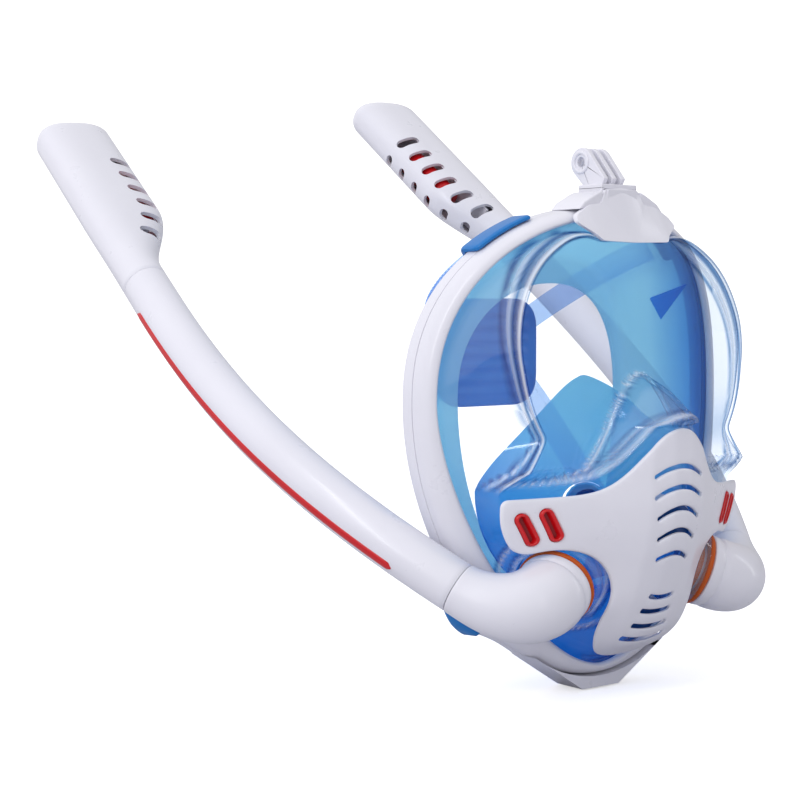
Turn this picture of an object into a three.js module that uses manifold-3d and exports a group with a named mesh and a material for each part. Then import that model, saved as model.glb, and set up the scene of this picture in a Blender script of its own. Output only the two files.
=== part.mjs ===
// Full face snorkel mask with a breathing tube on each side. Millimetres, +Z up, face opening to +Y.
// X is across the face: +X is the wearer's left. The origin is the middle of the face opening.
// The panes, frames and skirt follow one egg outline; y values are worked out by height functions.
import * as THREE from 'three';
import { mergeVertices } from 'three/addons/utils/BufferGeometryUtils.js';
import Module from 'manifold-3d';

const wasm = await Module();
wasm.setup();

// ---------- driving dimensions ----------
const STEPS = 40; // stations round the egg outline
const LIP = { half: 98.5, top: 93, bottom: 138.5, topPower: 2.25, bottomPower: 1.68 };
const RIM = { half: 105, top: 98.5, bottom: 144, topPower: 2.25, bottomPower: 2.0 };
const LIP_SIDE_Y = 27; // how far the lip sweeps back at the temples
const LIP_CHIN_Y = 11; // and at the chin

const VISOR_THICK = 2.2;
const FLANGE_Y = 3.6; // visor flange behind the lip
const FLANGE_OUT = 2.3;
const POD_SETBACK = 6.4; // visor pod behind the outside of the chin cover
const NOSE = { z: -8.5, proud: 10.5, step: 3.8 }; // tip of the clear nose ridge, proud of the pod
const PANE = { y: -14, tilt: 0.0675, bottom: -32 };
const POD_SLOPE = 0.55; // the pod's sides fall back from its flat middle
const POD_FLAT = 12;

const PORT = new THREE.Vector3(52.2, -7.6, -90.9); // left port, the right one is its mirror
const PORT_AXIS = new THREE.Vector3(0.824, -0.448, -0.347).normalize();
const PORT_R = 19.1;
const BORE_R = 14.6;

const TUBE_R = 13.06;
const TUBE_BORE = 10.6;
const TUBE_BEND = [
  new THREE.Vector3(96.9, 12.6, -87.6),
  new THREE.Vector3(137.9, 77, -41.2),
  new THREE.Vector3(148.5, 134.5, -4.4),
  new THREE.Vector3(141.2, 215.1, 55.5),
];
const TUBE_STRAIGHT = 22; // straight end of the tube, up to the head's collar
const HEAD_LENGTH = 172;
const HEAD = {
  wide: 24.5, deep: 13.9, shift: 11, power: 2.6, wall: 2.2, nose: 12, swells: [8, 72], tilt: 5,
};
const SWIVEL_REST = { right: -2.3, left: 2.3 }; // degrees each tube is turned in its port
const SLOT = { first: 40, pitch: 15.5, count: 6, width: 7 };
const FLOAT = { r: 9, length: 48, at: 66 };

const COVER_THICK = 2.2;
const VENTS = [
  // half width, middle z, rise of the middle over the ends
  [16.8, -30.7, 4.8], [16.6, -41, 4.9], [14.5, -51.5, 4.8], [12.9, -62.6, 4.2], [11, -74.4, 2.8],
  [8.6, -97.7, -1], [10.5, -105.4, -1], [12.3, -113.5, -1.2], [15.2, -121, -1.8],
];
const VENT_HEIGHT = 2.2;

// ---------- materials ----------
function plastic(color, roughness, options = {}) {
  return new THREE.MeshStandardMaterial({ color, roughness, metalness: 0, ...options });
}
const WHITE = plastic(0xecebf2, 0.25);
const CLEAR = plastic(0xe8f2fa, 0.05, { transparent: true, opacity: 0.3 });
const BLUE = plastic(0x2a8fe0, 0.4, { transparent: true, opacity: 0.75 });
const STRAP = plastic(0x1565b8, 0.5);
const RED = plastic(0xd01018, 0.35);
const ORANGE = plastic(0xb0581c, 0.45);
const FLAP = plastic(0x2050a0, 0.5);

// ---------- closed meshes ----------
function closedMesh(points, faces) {
  // one closed body from a list of points and triangles, turned so that its faces point out
  let volume = 0;
  for (const [a, b, c] of faces) volume += points[a].dot(points[b].clone().cross(points[c]));
  const index = faces.flatMap(([a, b, c]) => (volume > 0 ? [a, b, c] : [a, c, b]));
  const geometry = new THREE.BufferGeometry();
  const flat = points.flatMap((p) => [p.x, p.y, p.z]);
  geometry.setAttribute('position', new THREE.Float32BufferAttribute(flat, 3));
  geometry.setIndex(index);
  return geometry;
}

function ringLoft(sections) {
  // closed loop of closed sections, such as a frame or a gasket
  const m = sections[0].length;
  const n = sections.length;
  const faces = [];
  for (let i = 0; i < n; i += 1) {
    for (let j = 0; j < m; j += 1) {
      const a = i * m + j;
      const b = i * m + ((j + 1) % m);
      const c = ((i + 1) % n) * m + j;
      const d = ((i + 1) % n) * m + ((j + 1) % m);
      faces.push([a, b, d], [a, d, c]);
    }
  }
  return closedMesh(sections.flat(), faces);
}

function barLoft(sections, hub = -1) {
  // sections joined in a row; each end is a fan from corner 'hub', or from its middle if there is none
  const m = sections[0].length;
  const n = sections.length;
  const points = sections.flat();
  const faces = [];
  for (let i = 0; i < n - 1; i += 1) {
    for (let j = 0; j < m; j += 1) {
      const a = i * m + j;
      const b = i * m + ((j + 1) % m);
      faces.push([a, b, b + m], [a, b + m, a + m]);
    }
  }
  for (const [row, flip] of [[0, true], [n - 1, false]]) {
    const middle = new THREE.Vector3();
    sections[row].forEach((p) => middle.add(p));
    if (hub < 0) points.push(middle.divideScalar(m));
    const centre = hub < 0 ? points.length - 1 : row * m + hub;
    for (let j = 0; j < m; j += 1) {
      const a = row * m + j;
      const b = row * m + ((j + 1) % m);
      if (a !== centre && b !== centre) faces.push(flip ? [b, a, centre] : [a, b, centre]);
    }
  }
  return closedMesh(points, faces);
}

function dish(front, back) {
  // a sheet with thickness: front and back are [middle, ring, ring, ...], joined at the last ring
  const m = front[1].length;
  const rings = front.length - 1;
  const points = [front[0], ...front.slice(1).flat(), back[0], ...back.slice(1).flat()];
  const half = 1 + rings * m;
  const at = (side, ring, j) => side * half + 1 + (ring - 1) * m + (j % m);
  const faces = [];
  for (const side of [0, 1]) {
    const add = (a, b, c) => faces.push(side ? [a, c, b] : [a, b, c]);
    for (let j = 0; j < m; j += 1) {
      add(side * half, at(side, 1, j), at(side, 1, j + 1));
      for (let ring = 1; ring < rings; ring += 1) {
        add(at(side, ring, j), at(side, ring + 1, j), at(side, ring + 1, j + 1));
        add(at(side, ring, j), at(side, ring + 1, j + 1), at(side, ring, j + 1));
      }
    }
  }
  for (let j = 0; j < m; j += 1) {
    faces.push([at(0, rings, j), at(1, rings, j), at(1, rings, j + 1)]);
    faces.push([at(0, rings, j), at(1, rings, j + 1), at(0, rings, j + 1)]);
  }
  return closedMesh(points, faces);
}

// ---------- booleans ----------
function toSolid(geometry) {
  const bare = geometry.clone();
  bare.deleteAttribute('normal');
  bare.deleteAttribute('uv');
  const merged = mergeVertices(bare, 1e-4);
  return new wasm.Manifold(new wasm.Mesh({
    numProp: 3,
    vertProperties: new Float32Array(merged.attributes.position.array),
    triVerts: new Uint32Array(merged.index.array),
  }));
}

function toGeometry(solid) {
  const mesh = solid.getMesh();
  const geometry = new THREE.BufferGeometry();
  geometry.setAttribute('position', new THREE.BufferAttribute(new Float32Array(mesh.vertProperties), 3));
  geometry.setIndex(new THREE.BufferAttribute(new Uint32Array(mesh.triVerts), 1));
  return geometry;
}

function carve(body, joined, removed) {
  let solid = toSolid(body);
  for (const piece of joined) solid = solid.add(toSolid(piece));
  for (const piece of removed) solid = solid.subtract(toSolid(piece));
  return toGeometry(solid);
}

// ---------- curves and height functions ----------
function egg(spec, angle) {
  const c = Math.cos(angle);
  const s = Math.sin(angle);
  const power = 2 / (s >= 0 ? spec.topPower : spec.bottomPower);
  const x = spec.half * Math.sign(c) * Math.abs(c) ** power;
  const z = (s >= 0 ? spec.top : spec.bottom) * Math.sign(s) * Math.abs(s) ** power;
  return new THREE.Vector2(x, z);
}

function angleAt(i, count = STEPS) {
  return (2 * Math.PI * (i + 0.5)) / count;
}

function lipY(x, z) {
  const chin = z < 0 ? LIP_CHIN_Y * (z / LIP.bottom) ** 2 : 0;
  return chin + (LIP_SIDE_Y - chin) * (x / LIP.half) ** 2;
}

function table(rows, t) {
  // straight-line interpolation in rows of [key, value], keys rising
  if (t <= rows[0][0]) return rows[0][1];
  for (let i = 1; i < rows.length; i += 1) {
    const [k1, v1] = rows[i];
    const [k0, v0] = rows[i - 1];
    if (t <= k1) return v0 + ((v1 - v0) * (t - k0)) / (k1 - k0);
  }
  return rows[rows.length - 1][1];
}

function smoothstep(a, b, t) {
  const u = Math.min(1, Math.max(0, (t - a) / (b - a)));
  return u * u * (3 - 2 * u);
}

function softMax(a, b, r) {
  const h = Math.max(r - Math.abs(a - b), 0) / r;
  return Math.max(a, b) + (h * h * r) / 4;
}

// middle line of the chin cover, y at each z
const COVER_MIDDLE = [[-140, 12], [-133, 4], [-127, -9], [-121, -16.9], [-113.5, -22.4], [-98, -30.5],
  [-74, -39.8], [-62, -43], [-50, -44.6], [-12, -44.3]];

function coverY(x, z) {
  const slope = POD_SLOPE * (1 - 0.35 * smoothstep(-75, -105, z));
  const side = Math.max(0, Math.abs(x) - POD_FLAT / 2);
  const eased = side - (POD_FLAT / 2) * Math.min(1, side / POD_FLAT);
  return table(COVER_MIDDLE, z) + slope * eased;
}

function coverTopZ(x) {
  // top edge of the chin cover: a bell at the nose, then nearly level out to the corners
  return -12 - 29.5 * (1 - Math.exp(-((Math.abs(x) / 27) ** 2.4))) - 0.05 * Math.abs(x);
}

// how steeply the visor's side wall leaves its flange, by direction from the middle in degrees
const WALL_SLOPE = [[-90, 1.5], [-55, 1.9], [-47, 2.6], [-38, 5], [-27, 5], [-22, 2.2], [-15, 1.45],
  [0, 1.9], [12, 2.3], [23, 3], [35, 4], [50, 5.5], [62, 5.5], [74, 1.5], [90, 1.2]];

function lipAlong(x, z) {
  // the lip point in the same direction as x, z
  const direction = Math.atan2(z, x);
  let low = direction - 0.5;
  let high = direction + 0.5;
  for (let i = 0; i < 30; i += 1) {
    const middle = (low + high) / 2;
    const p = egg(LIP, middle);
    const turn = Math.atan2(p.y * Math.cos(direction) - p.x * Math.sin(direction),
      p.x * Math.cos(direction) + p.y * Math.sin(direction));
    if (turn > 0) high = middle;
    else low = middle;
  }
  return egg(LIP, (low + high) / 2);
}

function visorY(x, z) {
  // outside of the clear visor: flat pane, nose and mouth pod, and a side wall down to the flange
  const lip = lipAlong(x, z === 0 ? 1e-6 : z);
  const inside = lip.length() - Math.hypot(x, z);
  const flange = lipY(lip.x, lip.y) + FLANGE_Y;
  const slope = table(WALL_SLOPE, (Math.atan2(z, Math.abs(x)) * 180) / Math.PI);
  const wall = flange - slope * Math.max(0, inside - 1);
  const pane = PANE.y + PANE.tilt * z + 1.5 * Math.max(0, PANE.bottom - z);
  const rise = z - (coverTopZ(x) + 6);
  const ledge = 1.35 * Math.max(0, rise) + 0.06 * Math.max(0, rise - 9) ** 2;
  const tip = NOSE.proud * Math.exp(-((x / 15) ** 2)) * smoothstep(NOSE.z - NOSE.step, NOSE.z - 0.5, z);
  const pod = coverY(x, Math.min(z, -12)) + POD_SETBACK - tip + ledge;
  const front = -softMax(-pane, -pod, 4);
  return softMax(front, wall, 3);
}

function sheetPoint(height, x, z, thickness) {
  // the point a thickness behind the height function, along its normal
  const h = 0.6;
  const y = height(x, z);
  const slopeX = (height(x + h, z) - height(x - h, z)) / (2 * h);
  const slopeZ = (height(x, z + h) - height(x, z - h)) / (2 * h);
  const normal = new THREE.Vector3(-slopeX, 1, -slopeZ).normalize();
  return new THREE.Vector3(x, y, z).addScaledVector(normal, thickness);
}

// ---------- rings that follow the egg ----------
function framePoint(angle, across, out, back) {
  // across: 0 at the lip to 1 at the rim; out: mm outward from there; back: mm behind the lip
  const lip = egg(LIP, angle);
  const rim = egg(RIM, angle);
  const way = lip.clone().normalize();
  const p = lip.clone().lerp(rim, across).addScaledVector(way, out);
  return new THREE.Vector3(p.x, lipY(lip.x, lip.y) + back, p.y);
}

function flatPoint(angle, profilePoint) {
  // the same point on the straight run between two stations of the frame
  const step = (angle * STEPS) / (2 * Math.PI);
  const low = Math.floor(step);
  const next = framePoint(angleAt(low + 1), ...profilePoint);
  return framePoint(angleAt(low), ...profilePoint).lerp(next, step - low);
}

function frameRing(profile) {
  const sections = [];
  for (let i = 0; i < STEPS; i += 1) sections.push(profile.map((p) => framePoint(angleAt(i), ...p)));
  return ringLoft(sections);
}

function frontFrame() {
  return frameRing([[0, -0.5, 1], [0.2, 0, -0.6], [0.8, 0, 2.8], [1, 0, 6.2], [1, 0.3, 11.7],
    [1, -2.3, 11.7], [1, -2.3, 8], [0, 2.9, 3.2], [0, -0.5, 3.2]]);
}

function rearFrame() {
  return frameRing([[0, 1.1, 8.9], [1, -2.8, 8.9], [1, -2.8, 12.1], [1, 0.3, 12.1], [1, 0.3, 19.4],
    [1, -1, 20.8], [1, -2.8, 19.6], [0, 1.1, 11.6]]);
}

// ---------- visor ----------
const RING_DEPTHS = [-FLANGE_OUT, 0.9, 2.5, 6, 12, 22, 36]; // mm inside the lip

function visorRings(thickness) {
  const height = (x, z) => visorY(x, z);
  const rings = [() => NOSE.step];
  for (const fraction of [0.2, 0.42, 0.7]) {
    rings.push((reach) => (reach - RING_DEPTHS[RING_DEPTHS.length - 1]) * fraction);
  }
  for (const depth of [...RING_DEPTHS].reverse()) rings.push((reach) => reach - depth);
  const nose = new THREE.Vector2(0, NOSE.z);
  return [sheetPoint(height, nose.x, nose.y, thickness), ...rings.map((radius) => {
    const ring = [];
    for (let i = 0; i < STEPS; i += 1) {
      const way = egg(LIP, angleAt(i)).sub(nose);
      const p = way.clone().setLength(radius(way.length())).add(nose);
      const onFlange = way.length() - radius(way.length()) < 1;
      ring.push(onFlange
        ? new THREE.Vector3(p.x, lipY(way.x, way.y + nose.y) + FLANGE_Y + thickness, p.y)
        : sheetPoint(height, p.x, p.y, thickness));
    }
    return ring;
  })];
}

function cylinderAlong(base, axis, r, from, to, sides = 18) {
  const geometry = new THREE.CylinderGeometry(r, r, to - from, sides);
  const turn = new THREE.Quaternion().setFromUnitVectors(new THREE.Vector3(0, 1, 0), axis);
  geometry.applyQuaternion(turn);
  const middle = base.clone().addScaledVector(axis, (from + to) / 2);
  return geometry.translate(middle.x, middle.y, middle.z);
}

function mirrored(v, side) {
  return new THREE.Vector3(v.x * side, v.y, v.z);
}

const EXHALE = { z: -62, r: 11, axis: new THREE.Vector3(0, -0.98, -0.2).normalize() };
const PURGE = { z: -109, r: 8, axis: new THREE.Vector3(0, -0.887, -0.461).normalize() };
const VALVE_SINK = 0.8; // how far the seats of those two lie behind the visor's outside
const VALVE_DEPTH = 14;

function onVisor(x, z) {
  return new THREE.Vector3(x, visorY(x, z), z);
}

function visor() {
  const shell = dish(visorRings(0), visorRings(VISOR_THICK));
  const pockets = [];
  const bosses = [];
  const bores = [];
  for (const side of [1, -1]) {
    const base = mirrored(PORT, side);
    const axis = mirrored(PORT_AXIS, side);
    pockets.push(cylinderAlong(base, axis, PORT_R + 1.9, -3.4, 30, 20));
    bosses.push(cylinderAlong(base, axis, PORT_R + 2, -13, -3.4, 20));
    bores.push(cylinderAlong(base, axis, BORE_R, -40, 1, 20));
  }
  bores.push(cylinderAlong(onVisor(0, EXHALE.z), EXHALE.axis, EXHALE.r + 3.3, -9, 9));
  bores.push(cylinderAlong(onVisor(0, PURGE.z), PURGE.axis, PURGE.r + 3.3, -9, 9));
  return carve(carve(shell, [], pockets), bosses, bores);
}

// ---------- chin cover ----------
function coverOutline() {
  const shape = new THREE.Shape();
  shape.moveTo(0, coverTopZ(0));
  for (const x of [7, 14, 20, 27, 35, 44, 60, 80]) shape.lineTo(x, coverTopZ(x));
  shape.lineTo(84, -48);
  shape.quadraticCurveTo(84, -60, 78, -69);
  shape.quadraticCurveTo(74, -74, 66, -72);
  shape.bezierCurveTo(50, -68, 32, -74, 29, -92);
  shape.bezierCurveTo(28, -101, 31, -106, 30, -114);
  shape.bezierCurveTo(28, -126, 14, -132, 0, -132);
  return shape;
}

function extrudeAlongY(shape, y0, y1, segments = 4) {
  // a shape drawn in x, z, solid between y0 and y1
  const geometry = new THREE.ExtrudeGeometry(shape, {
    depth: y1 - y0, bevelEnabled: false, curveSegments: segments,
  });
  return geometry.rotateX(Math.PI / 2).translate(0, y1, 0);
}

function bothSides(shape, segments) {
  // the right half's points and their mirror images as one outline
  const half = shape.getPoints(segments);
  const other = half.slice(1, -1).reverse().map((p) => new THREE.Vector2(-p.x, p.y));
  return new THREE.Shape([...half, ...other]);
}

function heightSlab(height, xs, zs, thickness) {
  // a slab between a height function and the same surface moved back
  const rows = zs.map((z) => xs.map((x) => new THREE.Vector3(x, height(x, z), z)));
  const sections = rows.map((row) => [
    ...row,
    ...row.map((p) => new THREE.Vector3(p.x, p.y + thickness, p.z)).reverse(),
  ]);
  const m = sections[0].length;
  const points = sections.flat();
  const faces = [];
  for (let i = 0; i < sections.length - 1; i += 1) {
    for (let j = 0; j < m; j += 1) {
      const a = i * m + j;
      const b = i * m + ((j + 1) % m);
      faces.push([a, b, b + m], [a, b + m, a + m]);
    }
  }
  for (const [base, flip] of [[0, true], [(sections.length - 1) * m, false]]) {
    for (let j = 0; j < xs.length - 1; j += 1) {
      const [a, b, c, d] = [base + j, base + j + 1, base + m - 2 - j, base + m - 1 - j];
      faces.push(flip ? [a, c, b] : [a, b, c], flip ? [a, d, c] : [a, c, d]);
    }
  }
  return closedMesh(points, faces);
}

function ventShape([half, middle, rise]) {
  const shape = new THREE.Shape();
  const z = (x) => middle - rise * (x / half) ** 2;
  const stations = [-1, -0.6, 0, 0.6, 1].map((t) => t * half);
  shape.moveTo(stations[0], z(stations[0]) - VENT_HEIGHT / 2);
  for (const x of stations.slice(1)) shape.lineTo(x, z(x) - VENT_HEIGHT / 2);
  for (const x of [...stations].reverse()) shape.lineTo(x, z(x) + VENT_HEIGHT / 2);
  return shape;
}

const TRIM_SLOTS = [
  { x: 72.3, z: -60.3, turn: 0.5 },
  { x: 61.8, z: -58.2, turn: 0.47 },
];
const TRIM = { length: 18, width: 6.2, rim: 1.5, depth: 3.6 };

function racetrack(length, width, x, z, turn) {
  const straight = (length - width) / 2;
  const points = [];
  for (const end of [1, -1]) {
    for (let i = 0; i <= 4; i += 1) {
      const a = (Math.PI / 2) * (1 - end) + (Math.PI * i) / 4;
      const u = (width / 2) * Math.cos(a);
      const v = end * straight + (width / 2) * Math.sin(a);
      points.push(new THREE.Vector2(
        x + u * Math.cos(turn) + v * Math.sin(turn),
        z - u * Math.sin(turn) + v * Math.cos(turn),
      ));
    }
  }
  return points;
}

function chinCover() {
  const xs = [-90, -60, -40, -24, -12, -5, 5, 12, 24, 40, 60, 90];
  const zs = [-136, -130, -124, -117, -110, -98, -86, -74, -62, -50, -5];
  const slab = heightSlab(coverY, xs, zs, COVER_THICK);
  const outline = toSolid(extrudeAlongY(bothSides(coverOutline(), 3), -80, 60));
  let solid = toSolid(slab).intersect(outline);
  for (const vent of VENTS) solid = solid.subtract(toSolid(extrudeAlongY(ventShape(vent), -80, 40)));
  for (const { x, z, turn } of TRIM_SLOTS) {
    for (const side of [1, -1]) {
      const hole = new THREE.Shape(racetrack(TRIM.length, TRIM.width, side * x, z, side * turn));
      solid = solid.subtract(toSolid(extrudeAlongY(hole, -80, 40)));
    }
  }
  return toGeometry(solid);
}

function slotTrim(side, { x, z, turn }) {
  // red rim of an outlet slot, a ring that lines the slot in the chin cover
  const ring = new THREE.Shape(racetrack(TRIM.length - 0.6, TRIM.width - 0.6, side * x, z, side * turn));
  const inner = racetrack(TRIM.length - 2 * TRIM.rim - 0.6, TRIM.width - 2 * TRIM.rim - 0.6,
    side * x, z, side * turn);
  ring.holes.push(new THREE.Path(inner.reverse()));
  const slope = coverY(x + 1, z) - coverY(x, z);
  const geometry = extrudeAlongY(ring, 0, TRIM.depth);
  const position = geometry.attributes.position;
  for (let i = 0; i < position.count; i += 1) {
    const base = coverY(side * x, z) + slope * (Math.abs(position.getX(i)) - x);
    position.setY(i, base - 0.7 + position.getY(i));
  }
  return geometry;
}

// ---------- top clip, bottom clip and camera mount ----------
function topClip() {
  // hooks over the frame at the forehead and holds the visor's top edge
  const face = new THREE.Shape();
  face.moveTo(0, 80);
  face.lineTo(23, 80.6);
  face.lineTo(26, 84);
  face.lineTo(34.5, 89.4);
  face.lineTo(33, 93.5);
  face.lineTo(24, 98.6);
  face.lineTo(15, 100);
  face.lineTo(11.5, 107);
  face.lineTo(0, 108);
  const plate = extrudeAlongY(bothSides(face, 1), -12.4, -9.4);
  const block = new THREE.BoxGeometry(21, 20, 6.4).translate(0, 0, 103.8);
  return carve(plate, [block], []);
}

const MOUNT = { pitch: 6.1, prong: 3, head: { y: 22, z: 122, r: 7.5 }, foot: { y: 9, z: 108.2 }, hole: 2.6 };

function cameraMount() {
  // shoe with three prongs that lean back, cross drilled for the camera's thumbscrew
  const along = new THREE.Vector2(MOUNT.head.y - MOUNT.foot.y, MOUNT.head.z - MOUNT.foot.z);
  const angle = Math.atan2(along.y, along.x);
  const length = along.length();
  const shoe = new THREE.BoxGeometry(25, 17, 2.6).translate(0, MOUNT.foot.y + 1, MOUNT.foot.z + 0.4);
  const rails = [1, -1].map((side) => (
    new THREE.BoxGeometry(1.6, 17, 4.6).translate(side * 11.7, MOUNT.foot.y + 1, MOUNT.foot.z - 2)));
  const prong = new THREE.Shape();
  prong.moveTo(-3, -6.5);
  prong.lineTo(length, -MOUNT.head.r);
  prong.absarc(length, 0, MOUNT.head.r, -Math.PI / 2, Math.PI / 2, false);
  prong.lineTo(0.5, 6.5);
  const prongs = [-1, 0, 1].map((k) => {
    const geometry = new THREE.ExtrudeGeometry(prong, {
      depth: MOUNT.prong, bevelEnabled: false, curveSegments: 6,
    });
    geometry.translate(0, 0, k * MOUNT.pitch - MOUNT.prong / 2);
    geometry.rotateZ(angle);
    // local x, y, z become the row's y, z, x
    const swap = new THREE.Matrix4().makeBasis(new THREE.Vector3(0, 1, 0), new THREE.Vector3(0, 0, 1),
      new THREE.Vector3(1, 0, 0));
    geometry.applyMatrix4(swap);
    return geometry.translate(0, MOUNT.foot.y, MOUNT.foot.z);
  });
  const hole = cylinderAlong(new THREE.Vector3(0, MOUNT.head.y, MOUNT.head.z), new THREE.Vector3(1, 0, 0),
    MOUNT.hole, -12, 12, 10);
  const below = new THREE.BoxGeometry(21.6, 60, 20).translate(0, MOUNT.foot.y, MOUNT.foot.z - 10.9);
  return carve(shoe, [...rails, ...prongs], [hole, below]);
}

function bottomClip() {
  // hexagonal cap that locks both frames together under the chin
  const face = new THREE.Shape();
  face.moveTo(-22, -145.2);
  face.lineTo(-15, -150.4);
  face.lineTo(15, -150.4);
  face.lineTo(22, -145.2);
  const cap = extrudeAlongY(face, 10, 33);
  const slot = new THREE.BoxGeometry(9, 4.5, 8).translate(0, 15, -149);
  return carve(cap, [], [slot]);
}

// ---------- soft inner parts ----------
const FACE_RIM = { half: 75, top: 78, bottom: 122, topPower: 2.2, bottomPower: 2 };
const FACE_OPENING = { half: 57, top: 60, bottom: 108, topPower: 2.2, bottomPower: 2 };

function skirtRearY(x) {
  return 57 + 17 * (x / FACE_RIM.half) ** 2;
}

function faceSkirt() {
  const sections = [];
  for (let i = 0; i < STEPS; i += 1) {
    const angle = angleAt(i);
    const rear = egg(FACE_RIM, angle);
    const inner = egg(FACE_RIM, angle).multiplyScalar(0.97);
    const edge = egg(FACE_OPENING, angle);
    const at = (p, y) => new THREE.Vector3(p.x, y, p.y);
    sections.push([
      framePoint(angle, 0, 2.2, 6.2), framePoint(angle, 0, -1.8, 6.2), framePoint(angle, 0, -2.8, 10.5),
      at(inner, skirtRearY(rear.x) - 3), at(edge, skirtRearY(edge.x) - 6),
      at(edge, skirtRearY(edge.x) - 4), at(rear, skirtRearY(rear.x)),
      framePoint(angle, 0, -0.4, 13), framePoint(angle, 0, 0.6, 8.6), framePoint(angle, 0, 2.2, 8.6),
    ]);
  }
  return ringLoft(sections);
}

const CUP = { z: -46, half: 67, top: 58, bottom: 62, topPower: 1.9, bottomPower: 2, steps: 28 };

function cupRimY(x) {
  return 27 + 8 * (x / CUP.half) ** 2;
}

function cupRings(thickness) {
  const fractions = [0.3, 0.5, 0.68, 0.82, 0.92, 1];
  const height = (x, z) => {
    const share = Math.min(1, Math.hypot(x / CUP.half, (z - CUP.z) / (z > CUP.z ? CUP.top : CUP.bottom)));
    const front = coverY(x, Math.min(z, -14)) + 18 + 0.5 * Math.max(0, z + 24);
    const mix = smoothstep(0.5, 1.02, share);
    return front + (cupRimY(x) - front) * mix;
  };
  const middle = sheetPoint(height, 0, CUP.z, thickness);
  return [middle, ...fractions.map((f) => {
    const ring = [];
    for (let i = 0; i < CUP.steps; i += 1) {
      const p = egg(CUP, angleAt(i, CUP.steps)).multiplyScalar(f);
      ring.push(sheetPoint(height, p.x, p.y + CUP.z, thickness));
    }
    return ring;
  })];
}

const INHALE = { x: 36, z: -50, r: 8, axis: new THREE.Vector3(0.482, -0.876, 0) };

function onCup(side) {
  const y = coverY(INHALE.x, INHALE.z) + 18;
  return new THREE.Vector3(side * INHALE.x, y, INHALE.z);
}

function noseCup() {
  const holes = [
    cylinderAlong(onVisor(0, EXHALE.z), EXHALE.axis, EXHALE.r + 3.3, -40, 5),
    cylinderAlong(onVisor(0, PURGE.z), PURGE.axis, PURGE.r + 3.3, -40, 5),
  ];
  for (const side of [1, -1]) {
    holes.push(cylinderAlong(onCup(side), mirrored(INHALE.axis, side), INHALE.r + 3.3, -14, 14, 16));
  }
  return carve(dish(cupRings(0), cupRings(2)), [], holes);
}

function pipe(base, axis, outer, inner, from, to, sides = 18) {
  const body = cylinderAlong(base, axis, outer, from, to, sides);
  return carve(body, [], [cylinderAlong(base, axis, inner, from - 1, to + 1, sides)]);
}

function valveSeat(base, axis, r, from, to) {
  // ring with a cross of two bars that holds the flap's stem
  const ring = pipe(base, axis, r + 3, r, from, to);
  const across = new THREE.Vector3(0, 0, 1).cross(axis).normalize();
  const bar = new THREE.BoxGeometry(2 * r + 2, 1.6, 2);
  const turn = new THREE.Matrix4().makeBasis(across, axis, across.clone().cross(axis));
  const middle = base.clone().addScaledVector(axis, to - 1.2);
  bar.applyMatrix4(turn).translate(middle.x, middle.y, middle.z);
  return carve(ring, [bar], []);
}

function flap(base, axis, r, seat) {
  // thin silicone disc that lies on its seat
  return cylinderAlong(base, axis, r, seat + 0.3, seat + 1.3, 16);
}

// ---------- ports, elbows and tubes ----------
function gasket(side) {
  return pipe(mirrored(PORT, side), mirrored(PORT_AXIS, side), PORT_R + 0.4, BORE_R + 0.6, -3.1, -0.3, 24);
}

function frames(curve, stations) {
  // position and cross directions at each station, carried along the curve without twisting
  let across = new THREE.Vector3(1, 0, 0);
  return stations.map((t) => {
    const at = curve.getPoint(t);
    const along = curve.getTangent(t).normalize();
    across = across.clone().addScaledVector(along, -across.dot(along)).normalize();
    return { at, along, across, up: along.clone().cross(across) };
  });
}

function roundSection({ at, across, up }, r, sides) {
  const points = [];
  for (let i = 0; i < sides; i += 1) {
    const a = (2 * Math.PI * i) / sides;
    points.push(at.clone().addScaledVector(across, r * Math.cos(a)).addScaledVector(up, r * Math.sin(a)));
  }
  return points;
}

function hollowLoft(outer, inner) {
  // outer sections, then inner ones on the way back, make one pipe with open ends
  return ringLoft([...outer, ...inner.reverse()]);
}

const BEND = new THREE.CubicBezierCurve3(...TUBE_BEND);
const BEND_START = TUBE_BEND[1].clone().sub(TUBE_BEND[0]).normalize();
const TUBE_END_WAY = TUBE_BEND[3].clone().sub(TUBE_BEND[2]).normalize();
const COLLAR = TUBE_BEND[3].clone().addScaledVector(TUBE_END_WAY, TUBE_STRAIGHT);
const ELBOW = new THREE.CubicBezierCurve3(
  PORT.clone().addScaledVector(PORT_AXIS, 2),
  PORT.clone().addScaledVector(PORT_AXIS, 24),
  TUBE_BEND[0].clone().addScaledVector(BEND_START, -24),
  TUBE_BEND[0].clone().addScaledVector(BEND_START, -0.3),
);
const ELBOW_R = [[0, 18.6], [0.15, 19.2], [0.4, 18.4], [0.7, 15.6], [0.9, 13.6], [1, 13.1]];
const TUBE_SIDES = 14;

function elbow() {
  // spigot in the port, rim against the gasket, then the bend that narrows to the tube
  const stations = [0, 0.12, 0.25, 0.4, 0.55, 0.7, 0.85, 1];
  const places = frames(ELBOW, stations);
  const start = places[0];
  const onAxis = (s) => ({ ...start, at: PORT.clone().addScaledVector(PORT_AXIS, s) });
  const spigot = [[-9, BORE_R - 1.6], [0, BORE_R - 1.6], [0.1, PORT_R], [1.6, PORT_R]];
  const outer = [
    ...spigot.map(([s, r]) => roundSection(onAxis(s), r, TUBE_SIDES)),
    ...places.map((f, i) => roundSection(f, table(ELBOW_R, stations[i]), TUBE_SIDES)),
  ];
  const inner = [onAxis(-9), ...places].map((f) => roundSection(f, TUBE_BORE, TUBE_SIDES));
  return hollowLoft(outer, inner);
}

function elbowRing() {
  return pipe(PORT, PORT_AXIS, BORE_R - 0.35, BORE_R - 1.25, -6.5, -4, 20);
}

const TUBE_STATIONS = [0, 0.07, 0.15, 0.24, 0.33, 0.43, 0.54, 0.66, 0.8, 1];

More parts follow.
